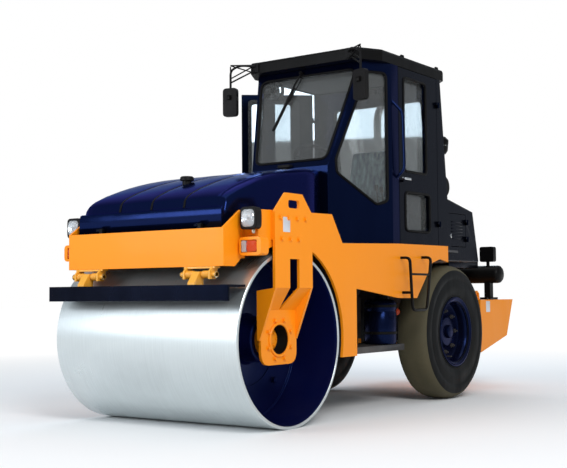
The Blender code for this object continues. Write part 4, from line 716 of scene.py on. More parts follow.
class ROLLER_OT_wheels(Builder, bpy.types.Operator):
    """Tyres with ribbed walls, dished rims, hubs and wheel bolts"""
    bl_idname = "roller.wheels"
    bl_label = "Wheels"

    def build(self):
        for name, side in SIDES:
            self.tyre(name)
            self.rim(name, side)

    def tyre(self, name):
        node = "tyre_" + name
        centre = middle(node)
        half = (high(node).x - low(node).x) / 2
        crown = (high(node).z - low(node).z) / 2
        flange = sizes().rim_flange
        wall = [(flange - 0.034, half - 0.024), (flange - 0.004, half - 0.018),
                (flange + 0.006, half - 0.012), (flange + 0.014, half - 0.006),
                (flange + 0.020, half - 0.012), (flange + 0.034, half - 0.010),
                (flange + 0.060, half - 0.003), (flange + 0.100, half), (flange + 0.106, half - 0.003),
                (flange + 0.140, half - 0.002), (flange + 0.146, half - 0.006), (crown - 0.112, half - 0.004),
                (crown - 0.104, half), (crown - 0.076, half - 0.002), (crown - 0.046, half - 0.012),
                (crown - 0.022, half - 0.032), (crown - 0.008, half - 0.062), (crown - 0.002, half - 0.096),
                (crown, half - 0.130)]
        inner = [(crown - 0.050, -half + 0.060), (crown - 0.050, half - 0.060)]
        profile = wall + [(r, -d) for r, d in reversed(wall)]
        profile += [(flange - 0.034, -half + 0.050), *inner, (flange - 0.034, half - 0.050)]
        bm = bmesh.new()
        add_turned(bm, profile, centre, X, 112, closed=True)
        for part in bm.faces:
            spot = part.calc_center_median() - centre
            part.material_index = int(math.hypot(spot.y, spot.z) > crown - 0.050)
        piece(bm, node + "_tread", "wheel_" + name, "tyre", ("tread",), (node,), recalc=True, smooth=50)

    def rim(self, name, side):
        node = "rim_" + name
        centre = middle(node)
        half = (high(node).x - low(node).x) / 2
        flange = sizes().rim_flange
        seat = flange - 0.037
        out = [(seat, half - 0.022), (flange - 0.006, half - 0.016), (flange, half - 0.010),
               (flange, half - 0.002), (flange - 0.008, half), (flange - 0.022, half - 0.012),
               (seat - 0.006, half - 0.040),
               (seat - 0.012, half - 0.060), (seat - 0.012, 0.045), (seat - 0.030, 0.034), (0.150, 0.034),
               (0.135, 0.042), (0.120, 0.062), (0.100, 0.066), (0.041, 0.066)]
        back = [(0.041, -0.060), (0.105, -0.060), (0.135, 0.018), (seat - 0.016, 0.018),
                (seat - 0.012, -half + 0.040), (flange - 0.010, -half), (flange, -half + 0.004),
                (flange, -half + 0.014), (seat, -half + 0.022)]
        bm = bmesh.new()
        add_turned(bm, out + back, centre, X * side, 96, closed=True)
        ring = [(seat + 0.010, half - 0.020), (seat + 0.024, half - 0.012), (seat + 0.020, half - 0.004),
                (seat + 0.006, half - 0.012)]
        add_turned(bm, ring, centre, X * side, 96, closed=True)
        piece(bm, node + "_dish", "wheel_" + name, "rim", replaces=(node,), recalc=True)
        self.hub(name, side, centre)

    def hub(self, name, side, centre):
        """Cap, studs and valve of a wheel."""
        count = sizes().wheel_bolts
        cap = [(0, 0.100), (0.040, 0.100), (0.052, 0.094), (0.058, 0.080), (0.058, 0.064), (0, 0.064)]
        turned("hub_cap_" + name, "wheel_" + name, "rim", cap, centre, X * side, 40)
        bm = bmesh.new()
        for k in range(count):
            turn = TAU * k / count
            spot = centre + Vector((side * 0.034, 0.178 * math.cos(turn), 0.178 * math.sin(turn)))
            add_bolt(bm, spot, X * side, 0.027, 0.020)
            add_rod(bm, spot, spot + X * side * 0.034, 0.007, 12)
        valve = centre + Vector((side * 0.055, 0, -0.215))
        add_rod(bm, valve, valve + X * side * 0.045, 0.006, 12)
        piece(bm, "wheel_bolts_" + name, "wheel_" + name, "casting")


# ------------------------------------------------------------------ frame

class ROLLER_OT_frame(Builder, bpy.types.Operator):
    """Side plates, front beam, arms, rear box and chassis with rounded edges"""
    bl_idname = "roller.frame"
    bl_label = "Frame plates"

    def build(self):
        for name, _ in SIDES:
            refined("side_plate_" + name, "orange", 0.003)
            refined("drum_arm_" + name, "orange", 0.003)
            refined("knuckle_" + name, "casting", 0.002)
            refined("step_" + name, "black", 0.0, 50)
            self.tank_bands(name)
        beam = refined("front_beam", "orange", 0.003)
        beam.data.materials.append(finish("black"))
        ledge = low("front_hood").z - 0.0035
        for part in beam.data.polygons:
            if part.center.z > ledge and abs(part.center.x - MID_X) < 0.6:
                part.material_index = 1
        refined("rear_box", "orange", 0.004)
        refined("chassis", "liner", 0.002)
        refined("rear_axle", "casting", 0.003)
        refined("tie_rod", "casting", 0.0)
        refined("rear_beam", "black", 0.002, 40)
        refined("engine", "casting", 0.006)

    def tank_bands(self, name):
        """Shell, straps and filler cap of a side tank."""
        node = "tank_" + name
        centre = middle(node)
        radius = (high(node).x - low(node).x) / 2
        foot = low(node).z - centre.z
        top = high(node).z - centre.z
        shell = [(0, foot), (radius - 0.020, foot), (radius - 0.006, foot + 0.006), (radius, foot + 0.020),
                 (radius, top - 0.112), (radius - 0.004, top - 0.106), (radius - 0.004, top - 0.096),
                 (radius, top - 0.090), (radius, top - 0.040), (radius - 0.006, top - 0.022),
                 (radius - 0.024, top - 0.008), (radius - 0.060, top - 0.002), (0, top)]
        turned("tank_shell_" + name, "chassis", "rim", shell, centre, Z, 72, replaces=(node,))
        bm = bmesh.new()
        for level in (foot + 0.080, top - 0.070):
            band = [(radius - 0.002, level), (radius + 0.004, level + 0.003), (radius + 0.004, level + 0.022),
                    (radius - 0.002, level + 0.025)]
            add_turned(bm, band, centre, Z, 64, closed=True)
            clamp = centre + Vector((0, -radius - 0.003, level + 0.012))
            add_bolt(bm, clamp, -Y, 0.016, 0.016)
        add_turned(bm, [(0, top + 0.028), (0.030, top + 0.026), (0.034, top + 0.018), (0.034, top - 0.002),
                        (0, top - 0.002)], centre, Z, 32)
        piece(bm, "tank_fittings_" + name, "chassis", "black", recalc=True)


class ROLLER_OT_bolts(Builder, bpy.types.Operator):
    """Bolts of the arms and bearings, blank plates and reflectors"""
    bl_idname = "roller.bolts"
    bl_label = "Bolts and plates"

    def build(self):
        size = sizes()
        for name, side in SIDES:
            arm = "drum_arm_" + name
            hub = middle("drum")
            face = high(arm).x if side > 0 else low(arm).x
            top = high(arm).z
            bm = bmesh.new()
            for drop, row in ((0.170, (-0.165, -0.070, 0.030, 0.130)), (0.312, (-0.150, -0.050, 0.048))):
                for y in row:
                    add_bolt(bm, (face, hub.y + y, top - drop), X * side, size.bolt, 0.014)
            flange = hub.x + side * 0.720
            add_bolt_ring(bm, (flange, hub.y, hub.z), side, 0.140, size.hub_bolts, size.bolt * 0.9,
                          0.016, 0.5)
            piece(bm, "arm_bolts_" + name, "chassis", "orange")
            self.bearing(name, side, hub, flange)
            self.plates(name, side, face, hub, top)
            self.reflector(name, side)

    def bearing(self, name, side, hub, flange):
        """Flange ring, recessed cover and sleeve of a drum bearing."""
        centre = (flange, hub.y, hub.z)
        ring = [(0.101, -0.004), (0.101, 0.006), (0.106, 0.010), (0.116, 0.010), (0.120, 0.006),
                (0.120, -0.004)]
        turned("bearing_ring_" + name, "chassis", "orange", ring, centre, X * side, 64, closed=True)
        bm = bmesh.new()
        cover = [(0, -0.060), (0.030, -0.060), (0.036, -0.066), (0.066, -0.066), (0.072, -0.076), (0, -0.076)]
        add_turned(bm, cover, centre, X * side, 48)
        add_bolt_ring(bm, (flange - side * 0.066, hub.y, hub.z), side, 0.048, 6, 0.012, 0.008)
        piece(bm, "bearing_cover_" + name, "chassis", "orange", recalc=True)
        sleeve = [(0.0975, 0.002), (0.0985, 0.002), (0.0985, -0.048), (0.084, -0.078), (0.083, -0.078),
                  (0.0975, -0.049)]
        turned("bearing_sleeve_" + name, "chassis", "black", sleeve, centre, X * side, 64, closed=True)

    def plates(self, name, side, face, hub, top):
        """Blank plates on an arm and on the rear box."""
        bm = bmesh.new()
        add_box(bm, (face, hub.y - 0.134, top - 0.266), (face + side * 0.002, hub.y - 0.053, top - 0.165),
                0.0008)
        box = high("rear_box").x if side > 0 else low("rear_box").x
        front = low("rear_box").y + 0.120
        add_box(bm, (box, front, 0.730), (box + side * 0.002, front + 0.085, 0.832), 0.0008)
        piece(bm, "blank_plates_" + name, "chassis", "plate")
        bm = bmesh.new()
        for y in (0.150, 0.225, 0.262):
            add_bolt(bm, (box, low("rear_box").y + y, 0.853), X * side, 0.014, 0.008)
        piece(bm, "box_bolts_" + name, "chassis", "casting")

    def reflector(self, name, side):
        """Round red reflector behind the tank."""
        shelf = low("rear_axle").y
        spot = Vector((MID_X + side * 0.640, shelf - 0.700, 0.760))
        out = Vector((side * 0.5, -0.866, 0))
        bm = bmesh.new()
        add_rod(bm, spot, spot + out * 0.012, 0.030, 32, 0.003)
        piece(bm, "reflector_" + name, "chassis", "red lens")
        bm = bmesh.new()
        add_box(bm, spot + Vector((-0.012, 0.004, -0.230)), spot + Vector((0.012, 0.010, 0.020)), 0.002)
        add_rod(bm, spot - out * 0.004, spot + out * 0.002, 0.034, 32, 0.002)
        piece(bm, "reflector_stay_" + name, "chassis", "black")


# ------------------------------------------------------------------ hoods

class ROLLER_OT_front_hood(Builder, bpy.types.Operator):
    """Sloping front hood with pressed lobes, painted shade in its grooves, hinges, catches and a cap"""
    bl_idname = "roller.front_hood"
    bl_label = "Front hood"

    # where the sides turn in, and the hood's length, from its front
    SHOULDER, LENGTH = 1.131, 1.642
    PROFILE = ((0.0, 0.0), (0.004, 0.120), (0.010, 0.136), (0.022, 0.141), (0.038, 0.141), (0.048, 0.150),
               (0.060, 0.196), (0.074, 0.214), (0.092, 0.228), (0.122, 0.246), (0.160, 0.263), (0.212, 0.286),
               (0.271, 0.307), (0.348, 0.334), (0.430, 0.360), (0.528, 0.387), (0.628, 0.411), (0.760, 0.438),
               (0.906, 0.461), (1.020, 0.476), (1.131, 0.489), (1.260, 0.503), (1.386, 0.518), (1.520, 0.534),
               (1.642, 0.550), (1.643, 0.0))

    def half_width(self, run):
        if run <= self.SHOULDER:
            return 0.653 - 0.033 * run / self.SHOULDER
        return 0.620 - 0.290 * (run - self.SHOULDER) / (self.LENGTH - self.SHOULDER)

    def section(self, run, rise):
        """Points across the hood at one place, from its right foot to its left foot."""
        half = self.half_width(run)
        radius = min(sizes().hood_lip if run > 0.030 else 0.006, max(rise * 0.9, 0.0005))
        wall, arc, lobe = 5, 8, 16
        row = [(-half, (rise - radius) * k / wall) for k in range(wall)]
        for k in range(arc):
            turn = math.pi / 2 * k / arc
            row.append((-half + radius * (1 - math.cos(turn)), rise - radius + radius * math.sin(turn)))
        pressed = sizes().lobe if 0.055 < run < 1.600 and rise > 0.15 else 0.0
        inner = half - radius
        right = []
        for number in range(4):
            for k in range(lobe):
                share = (number + (1 - math.cos(math.pi * k / lobe)) / 2) / 4
                crown = abs(math.sin(math.pi * 4 * share)) ** 0.25
                right.append((-inner + 2 * inner * share, rise + pressed * (crown - 0.35)))
        mirrored = [(-x, z) for x, z in reversed(row)]
        return row + right + [(inner, rise - 0.35 * pressed)] + mirrored

    def build(self):
        foot = low("front_hood").z
        front = high("front_hood").y - self.LENGTH
        rows = [self.section(run, rise) for run, rise in self.PROFILE]
        across = len(rows[0])
        bm = bmesh.new()
        bmesh.ops.create_grid(bm, x_segments=across - 1, y_segments=len(rows) - 1, size=1.0)
        for vert in bm.verts:
            column = round((vert.co.x + 1) / 2 * (across - 1))
            number = round((vert.co.y + 1) / 2 * (len(rows) - 1))
            x, z = rows[number][column]
            vert.co = (MID_X + x, front + self.PROFILE[number][0], foot + max(z, 0.0))
        bmesh.ops.remove_doubles(bm, verts=bm.verts, dist=MERGE)
        bmesh.ops.dissolve_degenerate(bm, edges=bm.edges, dist=MERGE)
        hood = piece(bm, "hood_shell", "hood", "hood", replaces=("front_hood",), smooth=40)
        wall = hood.modifiers.new("sheet", "SOLIDIFY")
        wall.thickness = 0.006
        wall.offset = -1.0
        self.painted_groove_shade(front, foot)
        self.fittings(front, foot)

    def painted_groove_shade(self, front, foot):
        """Dark strips laid in the three grooves between the lobes: painted shade in the grooves."""
        runs = []
        for number in (1, 2, 3):
            points = []
            for run, rise in self.PROFILE:
                if 0.045 < run < 1.600:
                    inner = self.half_width(run) - min(sizes().hood_lip, max(rise * 0.9, 0.0005))
                    x = MID_X + inner * (number / 2 - 1)
                    points.append((x, front + run, foot + rise - 0.35 * sizes().lobe - 0.0005))
            runs.append(points)
        # dark strips that paint the shade in the grooves
        sweep("hood_painted_groove_shade", runs, 0.0085, "hood", "rubber")

    def fittings(self, front, foot):
        """Filler cap, hinges and catches of the hood."""
        cap_y = middle("drum").y - 0.117
        cap_z = foot + 0.345
        cap = [(0, 0.066), (0.040, 0.066), (0.048, 0.060), (0.050, 0.050), (0.050, 0.036), (0.034, 0.034),
               (0.034, 0.0), (0, 0.0)]
        turned("hood_cap", "hood", "plastic", cap, (MID_X, cap_y, cap_z), Z, 40)
        bm = bmesh.new()
        axis = Vector((0, low("front_hood").y + 0.014, foot + 0.018))
        for _, side in SIDES:
            x = MID_X + side * 0.450
            add_rod(bm, (x, axis.y, axis.z), (x + 0.030, axis.y, axis.z), 0.0135, 20, 0.002)
            add_box(bm, (x, axis.y, axis.z - 0.004), (x + 0.030, front + 0.004, axis.z + 0.012), 0.002)
        piece(bm, "hood_hinges", "hood", "shaded_navy")
        bm = bmesh.new()
        y = middle("drum").y + 0.300
        for _, side in SIDES:
            x = MID_X + side * self.half_width(y - front)
            add_box(bm, (x - side * 0.004, y - 0.020, foot + 0.030),
                    (x + side * 0.014, y + 0.020, foot + 0.100), 0.004)
            pin = x + side * 0.010
            add_rod(bm, (pin, y, foot + 0.020), (pin, y, foot + 0.050), 0.006, 12, 0.001)
        piece(bm, "hood_catches", "hood", "plastic")


class ROLLER_OT_engine_hood(Builder, bpy.types.Operator):
    """Rear engine hood, its side doors, louvres, latches and grille"""
    bl_idname = "roller.engine_hood"
    bl_label = "Engine hood"

    def build(self):
        # painted shade: the engine hood and its doors take the darker copy of the navy paint
        refined("engine_hood", "shaded_navy", 0.005)
        self.skirt()
        for name, side in SIDES:
            node = "engine_door_" + name
            refined(node, "shaded_navy", 0.003)
            self.louvres(name, side, node)
        self.grille()

    def skirt(self):
        """Lower edge of the engine bay, under the hood's sides and rear."""
        start, end = low("engine_hood"), high("engine_hood")
        top, foot = start.z + 0.004, start.z - 0.066
        bm = bmesh.new()
        for _, side in SIDES:
            add_box(bm, (MID_X + side * 0.582, start.y + 0.040, foot),
                    (MID_X + side * 0.598, end.y - 0.006, top))
        add_box(bm, (MID_X - 0.590, end.y - 0.022, foot), (MID_X + 0.590, end.y - 0.006, top))
        piece(bm, "engine_skirt", "chassis", "shaded_navy")

    def louvres(self, name, side, node):
        """Pressed louvres and a latch on a side door."""
        start, end = low(node), high(node)
        face = MID_X + side * 0.600
        bm = bmesh.new()
        for k in range(6):
            z = start.z + 0.070 + 0.030 * k
            add_rod(bm, (face, start.y + 0.070, z), (face, end.y - 0.090, z), 0.007, 12, 0.003)
        piece(bm, "door_louvres_" + name, "engine_door_" + name, "shaded_navy")
        bm = bmesh.new()
        spot = Vector((face, start.y + 0.035, start.z + 0.090))
        add_rod(bm, spot, spot + X * side * 0.010, 0.014, 24, 0.002)
        add_box(bm, spot + Vector((0, -0.006, -0.020)), spot + Vector((side * 0.016, 0.006, 0.020)), 0.003)
        piece(bm, "door_latch_" + name, "engine_door_" + name, "bright")

    def grille(self):
        """Slats across the sloping rear of the engine hood."""
        normal = main_normal("engine_hood", (0, 1, 0))
        loop = face_loops("engine_hood", normal)[0]
        top = max(corner.z for corner in loop)
        tops = max((corner for corner in loop if corner.z > top - 0.01), key=lambda c: c.y)
        slope = Vector((0, normal.z, -normal.y))
        if slope.z > 0:
            slope = -slope
        bm = bmesh.new()
        for k in range(9):
            spot = Vector((MID_X, tops.y, top)) + slope * (0.080 + 0.032 * k)
            add_rod(bm, spot - X * 0.400, spot + X * 0.400, 0.008, 12, 0.004)
        piece(bm, "hood_grille", "chassis", "shaded_navy")


# ------------------------------------------------------------------ cab

class ROLLER_OT_cab(Builder, bpy.types.Operator):
    """Cab shell, roof and doors with rounded edges"""
    bl_idname = "roller.cab"
    bl_label = "Cab"

    def build(self):
        # painted shade: the cab is all one navy paint; the rear and doors take its darker copy and the roof
        # takes black paint
        refined("cab_front", "navy", 0.004, 30)
        refined("cab_rear", "shaded_navy", 0.004, 30)
        refined("cab_roof", "black", 0.005, 30)
        for name, _ in SIDES:
            refined("cab_door_" + name, "shaded_navy", 0.004, 30)
        self.lining()
        self.roof_rim()

    def lining(self):
        """Felt lining under the roof and a mat on the floor."""
        start, end = low("cab_roof"), high("cab_roof")
        z = start.z
        bm = bmesh.new()
        add_box(bm, (MID_X - 0.560, middle("drum").y + 1.560, z - 0.012),
                (MID_X + 0.560, end.y - 0.260, z - 0.001), 0.004)
        piece(bm, "roof_lining", "chassis", "lining")
        floor = low("seat_base").z
        bm = bmesh.new()
        add_box(bm, (MID_X - 0.560, high("steering_console").y - 0.380, floor + 0.0005),
                (MID_X + 0.560, low("seat_base").y - 0.010, floor + 0.008), 0.003)
        piece(bm, "floor_mat", "chassis", "rubber")

    def roof_rim(self):
        """Lifting rings and bolts on the roof."""
        top = high("cab_roof").z - 0.030
        bm = bmesh.new()
        for y in (low("cab_roof").y + 0.645, high("cab_roof").y - 0.080):
            for _, side in SIDES:
                add_turned(bm, bead(0.0112, 0.0, 0.0036, 10), (MID_X + side * 0.570, y, top + 0.0148), X, 32,
                           closed=True)
        piece(bm, "lifting_rings", "chassis", "black", recalc=True)
        bm = bmesh.new()
        for y in (low("cab_roof").y + 0.180, high("cab_roof").y - 0.200):
            for _, side in SIDES:
                add_bolt(bm, (MID_X + side * 0.480, y, top), Z, 0.018, 0.012)
        piece(bm, "roof_bolts", "chassis", "black")


class ROLLER_OT_windows(Builder, bpy.types.Operator):
    """Window glass with rubber gaskets"""
    bl_idname = "roller.windows"
    bl_label = "Windows"

    def build(self):
        for node in ("windscreen", "rear_window", "quarter_glass_left", "quarter_glass_right"):
            refined(node, "glass", 0.0)
        for name, _ in SIDES:
            refined("door_glass_" + name, "glass", 0.0)
        self.gasket("windscreen_gasket", "cab_front", main_normal("windscreen", (0, -1, 0.3)), "chassis")
        self.gasket("rear_window_gasket", "cab_rear", main_normal("rear_window", (0, 1, 0)), "chassis")
        for name, side in SIDES:
            towards = main_normal("quarter_glass_" + name, (side, -0.5, 0))
            self.gasket("quarter_gasket_" + name, "cab_front", towards, "chassis")
        rest = -math.radians(joint_of("door_right_swing")["range_deg"][0])
        self.gasket("door_gasket_left", "cab_door_left", X, "door_left")
        self.gasket("door_gasket_right", "cab_door_right", Matrix.Rotation(-rest, 3, "Z") @ -X, "door_right")

    def gasket(self, name, node, normal, body):
        """Rubber bead round every opening in a flat panel."""
        holes = [loop for loop in face_loops(node, normal)[1:] if len(loop) > 10]
        runs = [[corner - normal * 0.001 for corner in loop] for loop in holes]
        sweep(name, runs, sizes().gasket, body, "rubber", closed=True)


class ROLLER_OT_cab_fittings(Builder, bpy.types.Operator):
    """Mirrors, wiper, door handles, fan and screen bracket"""
    bl_idname = "roller.cab_fittings"
    bl_label = "Cab fittings"

    def build(self):
        for name, side in SIDES:
            refined("mirror_" + name, "plastic", 0.002, 45)
            self.mirror(name, side)
            self.handle(name, side)
        refined("wiper", "plastic", 0.0, 50)
        self.wiper_arm()
        self.fan()
        self.bracket()

    def mirror(self, name, side):
        """Reflecting face, clamps and truss stays of a mirror."""
        node = "mirror_" + name
        start, end = low(node), high(node)
        turn = Matrix.Rotation(side * math.radians(-12), 3, "Z")
        head = Vector((MID_X + side * 0.652, start.y + 0.035, start.z + 0.122))
        back = turn @ Y
        bm = bmesh.new()
        matrix = (Matrix.Translation(head + back * 0.0225) @ turn.to_4x4()
                  @ Matrix.Diagonal((0.108, 0.002, 0.220, 1)))
        made = bmesh.ops.create_cube(bm, size=1.0, matrix=matrix)["verts"]
        upright = [edge for edge in {e for v in made for e in v.link_edges}
                   if abs((edge.verts[0].co - edge.verts[1].co).normalized().dot(back)) > 0.9]
        round_edges(bm, upright, 0.022, 5)
        piece(bm, "mirror_face_" + name, "chassis", "mirror")
        top = Vector((MID_X + side * 0.652, head.y, end.z - 0.030))
        foot = Vector((MID_X + side * 0.470, end.y - 0.012, end.z - 0.020))
        inner = Vector((MID_X + side * 0.470, end.y - 0.012, end.z - 0.090))
        runs = [[foot, top + Z * 0.012], [inner, top + Z * 0.010], [foot, head + Z * 0.205],
                [top, head + Z * 0.120]]
        sweep("mirror_stays_" + name, runs, 0.0055, "chassis", "black")
        bm = bmesh.new()
        add_box(bm, head - back * 0.036 + Vector((-0.016, -0.010, 0.020)),
                head - back * 0.016 + Vector((0.016, 0.010, 0.060)), 0.004)
        add_bolt(bm, head - back * 0.034 + Z * 0.040, -back, 0.012, 0.010)
        piece(bm, "mirror_clamp_" + name, "chassis", "black")

    def handle(self, name, side):
        """Pull handle and lock on a door."""
        joint = joint_of("door_" + name + "_swing")
        pivot = Vector(joint["pos_m"])
        rest = math.radians(joint["range_deg"][0]) if side < 0 else 0.0
        turn = Matrix.Translation(pivot) @ Matrix.Rotation(rest, 4, "Z") @ Matrix.Translation(-pivot)
        face = MID_X + side * 0.650
        front = pivot.y - 0.6775
        y = front + 0.045
        z = low("cab_door_" + name).z + 0.515
        bm = bmesh.new()
        add_rod(bm, (face, y, z + 0.030), (face + side * 0.012, y, z + 0.030), 0.016, 24, 0.002)
        add_box(bm, (face + side * 0.022, front + 0.038, z + 0.022),
                (face + side * 0.034, front + 0.145, z + 0.042), 0.004, 3)
        add_rod(bm, (face, y, z + 0.032), (face + side * 0.030, y, z + 0.032), 0.009, 16, 0.002)
        bmesh.ops.transform(bm, matrix=turn, verts=bm.verts)
        piece(bm, "door_handle_" + name, "door_" + name, "bright")

    def wiper_arm(self):
        """Second arm, blade holder and blade of the wiper."""
        top, foot = high("windscreen"), low("windscreen")
        slope = (Vector((0, top.y - foot.y, top.z - foot.z))).normalized()
        out = Vector((0, -slope.z, slope.y))
        start = Vector((MID_X - 0.060, top.y - 0.004, top.z)) + slope * 0.020 + out * 0.022
        knee = start + X * -0.085 - slope * 0.235
        tip = start + X * -0.178 - slope * 0.515
        heel = knee + X * 0.035 + slope * 0.115
        bm = bmesh.new()
        add_rod(bm, start + X * 0.018 - slope * 0.006, knee + X * 0.010 - slope * 0.020, 0.0045, 10)
        add_rod(bm, heel, tip, 0.011, 10, 0.003)
        add_box(bm, knee + Vector((-0.016, -0.010, -0.016)), knee + Vector((0.016, 0.006, 0.016)), 0.004)
        piece(bm, "wiper_blade", "chassis", "plastic")

    def fan(self):
        """Round cab fan under the roof, behind the windscreen."""
        centre = Vector((MID_X - 0.399, middle("drum").y + 1.500, 2.665))
        forward = Vector((0.15, -1, -0.1)).normalized()
        bm = bmesh.new()
        for radius in (0.088, 0.060, 0.034):
            add_turned(bm, bead(radius, 0.030, 0.003), centre, forward, 48, closed=True)
        rim = [(0.086, -0.026), (0.092, -0.022), (0.092, 0.026), (0.086, 0.030), (0.084, 0.026),
               (0.084, -0.022)]
        add_turned(bm, rim, centre, forward, 48, closed=True)
        hub = [(0, -0.045), (0.036, -0.045), (0.040, -0.036), (0.034, 0.006), (0, 0.010)]
        add_turned(bm, hub, centre, forward, 32)
        bmesh.ops.recalc_face_normals(bm, faces=bm.faces)
        side = forward.cross(Z).normalized()
        up = side.cross(forward)
        for k in range(12):
            turn = TAU * k / 12
            out = side * math.cos(turn) + up * math.sin(turn)
            add_rod(bm, centre + out * 0.010 + forward * 0.031, centre + out * 0.088 + forward * 0.029,
                    0.0018, 8)
        stem = centre - forward * 0.030
        add_rod(bm, stem, Vector((stem.x, stem.y, low("cab_roof").z)), 0.008, 16)
        piece(bm, "cab_fan", "chassis", "plastic")
        bm = bmesh.new()
        for k in range(sizes().fan_blades):
            spin = Matrix.Rotation(TAU * k / sizes().fan_blades, 4, forward)
            made = bmesh.ops.create_grid(bm, x_segments=6, y_segments=3, size=1.0)["verts"]
            for vert in made:
                out = 0.024 + 0.052 * (vert.co.x + 1) / 2
                wide = 0.020 * vert.co.y * (0.6 + 0.4 * out / 0.076)
                place_at = side * out + up * wide + forward * (0.35 * wide + 0.004)
                vert.co = centre + (spin @ place_at)
        made = piece(bm, "fan_blades", "chassis", "lining")
        sheet = made.modifiers.new("sheet", "SOLIDIFY")
        sheet.thickness = 0.002

    def bracket(self):
        """Small lamp bracket under the windscreen."""
        z = low("windscreen").z - 0.030
        y = low("cab_front").y - 0.002
        bm = bmesh.new()
        add_box(bm, (MID_X - 0.090, y - 0.034, z - 0.012), (MID_X + 0.030, y + 0.016, z + 0.012), 0.004)
        add_box(bm, (MID_X - 0.060, y - 0.020, z - 0.034), (MID_X, y + 0.010, z - 0.006), 0.004)
        piece(bm, "screen_bracket", "chassis", "plastic")


class ROLLER_OT_cab_inside(Builder, bpy.types.Operator):
    """Steering console with its gauges, the seat base and lever stands"""
    bl_idname = "roller.cab_inside"
    bl_label = "Cab inside"

    def build(self):
        refined("steering_console", "plastic", 0.003, 40)
        refined("seat_base", "black", 0.004)
        start = low("steering_console")
        top = high("seat_base").z
        bm = bmesh.new()
        for x, tall in ((0.300, 0.230), (0.350, 0.210), (-0.310, 0.260)):
            foot = Vector((MID_X + x, low("seat_base").y + 0.110, top - 0.060))
            tip = foot + Vector((0.0, -0.050, tall))
            add_rod(bm, foot, tip, 0.006, 12)
            add_rod(bm, tip - Vector((0, 0, 0.020)), tip + Vector((0, -0.008, 0.030)), 0.016, 20, 0.008)
        for x in (0.325, -0.310):
            add_box(bm, (MID_X + x - 0.070, low("seat_base").y + 0.020, low("seat_base").z + 0.001),
                    (MID_X + x + 0.070, high("seat_base").y - 0.060, top - 0.050), 0.010, 3)
        piece(bm, "lever_stands", "chassis", "plastic")
        bm = bmesh.new()
        face = Vector((MID_X, start.y + 0.110, start.z + 0.580))
        normal = Vector((0, 0.45, 0.89)).normalized()
        for x in (-0.120, -0.060, 0.060, 0.120):
            spot = face + X * x - normal * 0.012
            add_rod(bm, spot, spot + normal * 0.018, 0.024, 32, 0.003)
        piece(bm, "gauges", "chassis", "reflector")


